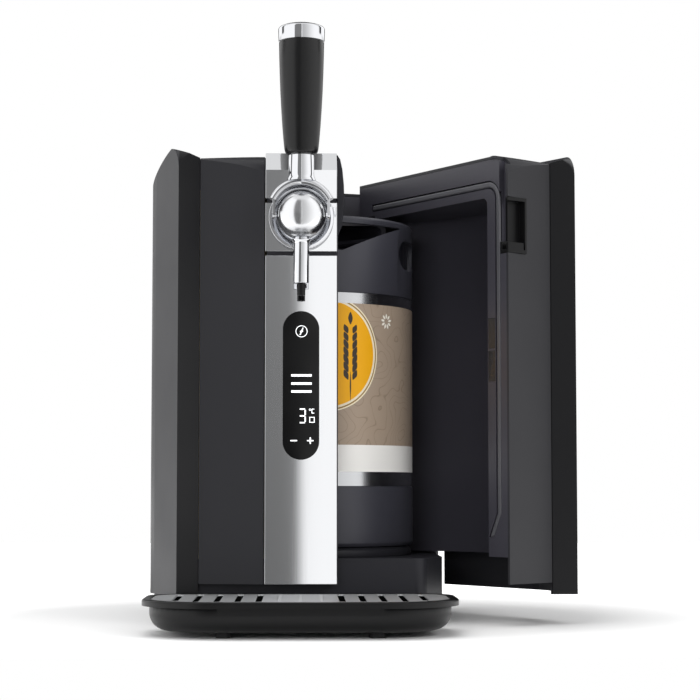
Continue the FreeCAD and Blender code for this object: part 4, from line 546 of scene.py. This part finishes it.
def leaf(shape, s, z, length, width, lean):
    """A pointed leaf of ink round (s, z) on the barrel: arc length and height in millimetres."""
    blade = bmesh.ops.create_circle(shape, segments=20, radius=1.0, cap_ends=True, cap_tris=True)["verts"]
    c, k = math.cos(math.radians(lean)), math.sin(math.radians(lean))
    for v in blade:
        # narrower towards both points
        taper = 1 - abs(v.co.y) ** 1.5 * 0.55
        across, up = v.co.x * width / 2 * taper, v.co.y * length / 2
        arc = (s + across * c + up * k) * MM / LABEL_R
        v.co = (PRINT_R * math.sin(arc), -PRINT_R * math.cos(arc), (z - across * k + up * c) * MM)


# the ear's place along the barrel, and its grains in pairs up the stalk
BARLEY_S = 44.0
GRAINS, GRAIN_FOOT, GRAIN_STEP, GRAIN_OUT, GRAIN_LEAN = 7, 214, 6.6, 4.2, 24
barley = bmesh.new()
for i in range(GRAINS):
    z = GRAIN_FOOT + GRAIN_STEP * i
    length = 10.5 - 0.5 * abs(i - 2)
    leaf(barley, BARLEY_S - GRAIN_OUT, z, length, 4.6, -GRAIN_LEAN)
    leaf(barley, BARLEY_S + GRAIN_OUT, z, length, 4.6, GRAIN_LEAN)
leaf(barley, BARLEY_S, 263, 11, 4.4, 0)
leaf(barley, BARLEY_S, 204, 26, 1.3, 0)
finished("barley_print", barley, ink, "keg")
ROSETTE_S, ROSETTE_Z, ROSETTE_R, PETALS = 84, 262, 4.6, 9
rosette = bmesh.new()
for i in range(PETALS):
    turn = 360 / PETALS * i
    s = ROSETTE_S + ROSETTE_R * math.sin(math.radians(turn))
    z = ROSETTE_Z + ROSETTE_R * math.cos(math.radians(turn))
    leaf(rosette, s, z, 4.6, 2.2, turn)
finished("rosette_print", rosette, pale_ink, "keg")

# ---- Door fittings ----
# The seal and the catch sit in the door's moulded rim: EPDM rubber with a dull shine, and a
# blackened zinc catch. The finger pull is black acetal like the hinge.
seal_rubber = moulded("epdm_seal", "4c4c50", 0.35, 1.0, 0.006)
dress(seal_rubber, "door_seal")
ease(1.5, "door_seal")
catch_zinc = moulded("blackened_zinc_catch", "333437", 0.28, 0.5, 0.003, Metallic=0.4)
dress(catch_zinc, "door_catch")
ease(0.4, "door_catch")
dress(acetal, "door_pull")
ease(0.5, "door_pull")

# ---- Drip tray ----
# A deep bowl and its rim in black ABS, and a laser-cut stainless grille with a fine brushed face
# that lies loose in the rim.
tray_abs = moulded("black_tray_abs", "070708", 0.34, 0.6, 0.005, Specular_IOR_Level=0.25)
dress(tray_abs, "drip_bowl", "drip_rim")
ease(0.8, "drip_bowl")
grille_steel, grille_shader, grille_place = new_finish("brushed_stainless_grille", "e2e3e5", Metallic=1.0,
                                                       Roughness=0.5)
# brush lines along the slots, 0.2 mm apart, drawn at 0.7 mm
straight_lines(grille_steel, grille_shader, grille_place, (1400, 20, 1400), 0.3, 0.01)
dress(grille_steel, "drip_grille")
ease(0.25, "drip_grille")

# ---- Floor ----
# A sheet of white paper that runs out of sight behind and ends just in front of the tray.
# Its glow for camera and mirror rays is painted light that rises away from the object, so that it meets the
# backdrop without an edge; near the object the glow fades out, which leaves a painted shade round it.
FLOOR_HALF, FLOOR_BACK, FLOOR_FRONT = 2.5, 2.5, -0.42
PAPER_NEAR, PAPER_FAR, PAPER_LEVEL = 0.26, 0.66, 0.9
paper, paper_shader, paper_place = new_finish("white_paper_floor", "f6f6f6", Roughness=0.9,
                                              Emission_Color=srgb("ffffff"))
paper_reach = add(paper, "ShaderNodeVectorMath", {0: paper_place}, operation="LENGTH")
# painted light: no glow near the object and full glow far off, so a painted shade rings the object
painted_glow_by_reach = add(paper, "ShaderNodeMapRange", {"Value": paper_reach.outputs["Value"],
                  "From Min": PAPER_NEAR, "From Max": PAPER_FAR, "To Min": 0.0, "To Max": PAPER_LEVEL})
paper_ray = add(paper, "ShaderNodeLightPath")
paper_mirrored = add(paper, "ShaderNodeMath", {0: paper_ray.outputs["Is Glossy Ray"],
                     1: paper_ray.outputs["Is Transmission Ray"]}, operation="MAXIMUM")
paper_seen = add(paper, "ShaderNodeMath", {0: paper_ray.outputs["Is Camera Ray"],
                 1: paper_mirrored.outputs[0]}, operation="MAXIMUM")
painted_floor_glow = add(paper, "ShaderNodeMath", {0: paper_seen.outputs[0], 1: painted_glow_by_reach.outputs[0]},
                 operation="MULTIPLY")
link(paper, painted_floor_glow.outputs[0], paper_shader, "Emission Strength")
floor_shape = bmesh.new()
bmesh.ops.create_grid(floor_shape, x_segments=1, y_segments=1, size=1.0)
for v in floor_shape.verts:
    v.co = (v.co.x * FLOOR_HALF, FLOOR_BACK if v.co.y > 0 else FLOOR_FRONT, 0)
floor_mesh = bpy.data.meshes.new("floor")
floor_shape.to_mesh(floor_mesh)
floor_shape.free()
floor_mesh.materials.append(paper)
floor = bpy.data.objects.new("floor", floor_mesh)
bpy.context.scene.collection.objects.link(floor)

# ---- Lamps ----
# Four large soft boxes: above, low on the left, and two in front. They light the body and the
# label, and the bright metal doesn't mirror them.
# Each row: name, place, the point it faces, width in metres, power in watts.
for name, place, target, size, power in (
        ("lamp_above", (-0.3, -0.3, 2.2), (0, 0, 0.2), 2.0, 34),
        ("lamp_left", (-2.2, 0.1, 0.7), (-0.1, 0, 0.2), 1.3, 12),
        ("lamp_right", (1.1, -1.6, 0.9), (0.1, 0, 0.25), 0.8, 13),
        ("lamp_front", (-0.5, -2.0, 0.35), (0.15, 0, 0.2), 0.7, 12)):
    lamp = bpy.data.lights.new(name, "AREA")
    lamp.size = size
    lamp.energy = power
    lamp_object = bpy.data.objects.new(name, lamp)
    lamp_object.location = place
    aim = Vector(target) - Vector(place)
    lamp_object.rotation_euler = aim.to_track_quat("-Z", "Y").to_euler()
    lamp_object.visible_glossy = False
    bpy.context.scene.collection.objects.link(lamp_object)

# ---- Backdrop ----
# A white backdrop behind everything. What the metal mirrors is a studio of white flats with a grey
# gap in front on the left, by azimuth from straight ahead and by height (the sine of its angle).
world = bpy.data.worlds.new("studio")
bpy.context.scene.world = world
world.use_nodes = True
world.node_tree.nodes.clear()
FLAT = 1.35
DARK = 0.03
EDGE = 0.05
sky_place = add(world, "ShaderNodeTexCoord").outputs["Generated"]
direction = add(world, "ShaderNodeSeparateXYZ", {"Vector": sky_place})
towards = add(world, "ShaderNodeMath", {0: direction.outputs["Y"], 1: -1.0}, operation="MULTIPLY")
azimuth = add(world, "ShaderNodeMath", {0: direction.outputs["X"], 1: towards.outputs[0]},
              operation="ARCTAN2").outputs[0]
aside = add(world, "ShaderNodeMath", {0: azimuth}, operation="ABSOLUTE")
share = add(world, "ShaderNodeMath", {0: aside.outputs[0], 1: math.pi}, operation="DIVIDE").outputs[0]
# white flats either side with dark edges towards the back, which only the higher pieces reflect
walls = add(world, "ShaderNodeValToRGB", {"Fac": share})
walls.color_ramp.elements[0].color = (FLAT, FLAT, FLAT, 1)
walls.color_ramp.elements[1].color = (DARK, DARK, DARK, 1)
for turn, level in ((90, FLAT), (98, 1.1), (101, EDGE), (112, EDGE), (115, FLAT), (150, FLAT), (156, DARK)):
    stop = walls.color_ramp.elements.new(turn / 180)
    stop.color = (level, level, level, 1)
high_up = add(world, "ShaderNodeMapRange", {"Value": direction.outputs["Z"], "From Min": 0.17,
              "From Max": 0.19})
# lower down the flats only fade towards the back
low_flats = add(world, "ShaderNodeMapRange", {"Value": share, "From Min": 0.62, "From Max": 0.8,
                "To Min": FLAT, "To Max": 0.75})
flats = add(world, "ShaderNodeMix", {"Factor": high_up.outputs[0], 6: low_flats.outputs[0],
            7: walls.outputs[0]}, data_type="RGBA")
# to the right the light rises slowly, behind a narrow bright strip straight ahead
rise = add(world, "ShaderNodeMapRange", {"Value": azimuth, "From Min": math.radians(3),
           "From Max": math.radians(75), "To Min": 0.5, "To Max": 0.0}, interpolation_type="SMOOTHSTEP")
past_strip = add(world, "ShaderNodeMath", {0: azimuth, 1: math.radians(2.6)}, operation="GREATER_THAN")
shade = add(world, "ShaderNodeMath", {0: rise.outputs[0], 1: past_strip.outputs[0]}, operation="MULTIPLY")
right = add(world, "ShaderNodeMix", {"Factor": shade.outputs[0], 6: flats.outputs[2], 7: (0, 0, 0, 1)},
            data_type="RGBA")
# the grey gap in front to the left has a crisp edge straight ahead
gap_left = add(world, "ShaderNodeMapRange", {"Value": azimuth, "From Min": math.radians(-36),
               "From Max": math.radians(-33)})
gap_right = add(world, "ShaderNodeMapRange", {"Value": azimuth, "From Min": math.radians(-0.2),
                "From Max": math.radians(0.16), "To Min": 1.0, "To Max": 0.0},
                interpolation_type="SMOOTHSTEP")
gap = add(world, "ShaderNodeMath", {0: gap_left.outputs[0], 1: gap_right.outputs[0]}, operation="MULTIPLY")
grey = add(world, "ShaderNodeMapRange", {"Value": direction.outputs["Z"], "From Min": -0.05,
           "From Max": 0.12, "To Min": 0.2, "To Max": 0.27})
fronts = add(world, "ShaderNodeMix", {"Factor": gap.outputs[0], 6: right.outputs[2], 7: grey.outputs[0]},
             data_type="RGBA")
overhead = add(world, "ShaderNodeMapRange", {"Value": direction.outputs["Z"], "From Min": 0.86,
               "From Max": 0.93})
studio = add(world, "ShaderNodeMix", {"Factor": overhead.outputs[0], 6: fronts.outputs[2], 7: (1, 1, 1, 1)},
             data_type="RGBA")
# soft light that falls off from the left to the right
fill = add(world, "ShaderNodeMapRange", {"Value": direction.outputs["X"], "From Min": -0.7,
           "From Max": 0.7, "To Min": 0.6, "To Max": 0.26})
ray = add(world, "ShaderNodeLightPath")
mirrored = add(world, "ShaderNodeMath", {0: ray.outputs["Is Glossy Ray"],
               1: ray.outputs["Is Transmission Ray"]}, operation="MAXIMUM")
unseen = add(world, "ShaderNodeMix", {"Factor": mirrored.outputs[0], 6: fill.outputs[0],
             7: studio.outputs[2]}, data_type="RGBA")
backdrop = add(world, "ShaderNodeMix", {"Factor": ray.outputs["Is Camera Ray"], 6: unseen.outputs[2],
               7: (1, 1, 1, 1)}, data_type="RGBA")
sky = add(world, "ShaderNodeBackground", {"Color": backdrop.outputs[2], "Strength": 1.0})
add(world, "ShaderNodeOutputWorld", {"Surface": sky.outputs[0]})

# ---- Camera ----
# It stands in front of the tap, a little below the middle of the body, and looks slightly up and
# to the right.
CAMERA_AWAY, CAMERA_UP = 1.795, 0.115
LOOK_UP, LOOK_RIGHT = math.radians(4.04), math.radians(1.42)
camera_data = bpy.data.cameras.new("camera")
camera_data.lens = 101.8
camera_data.sensor_width = 36.0
camera = bpy.data.objects.new("camera", camera_data)
camera.location = (0, -CAMERA_AWAY, CAMERA_UP)
camera.rotation_euler = (math.radians(90) + LOOK_UP, 0, -LOOK_RIGHT)
bpy.context.scene.collection.objects.link(camera)
bpy.context.scene.camera = camera
bpy.context.scene.view_settings.view_transform = "Standard"
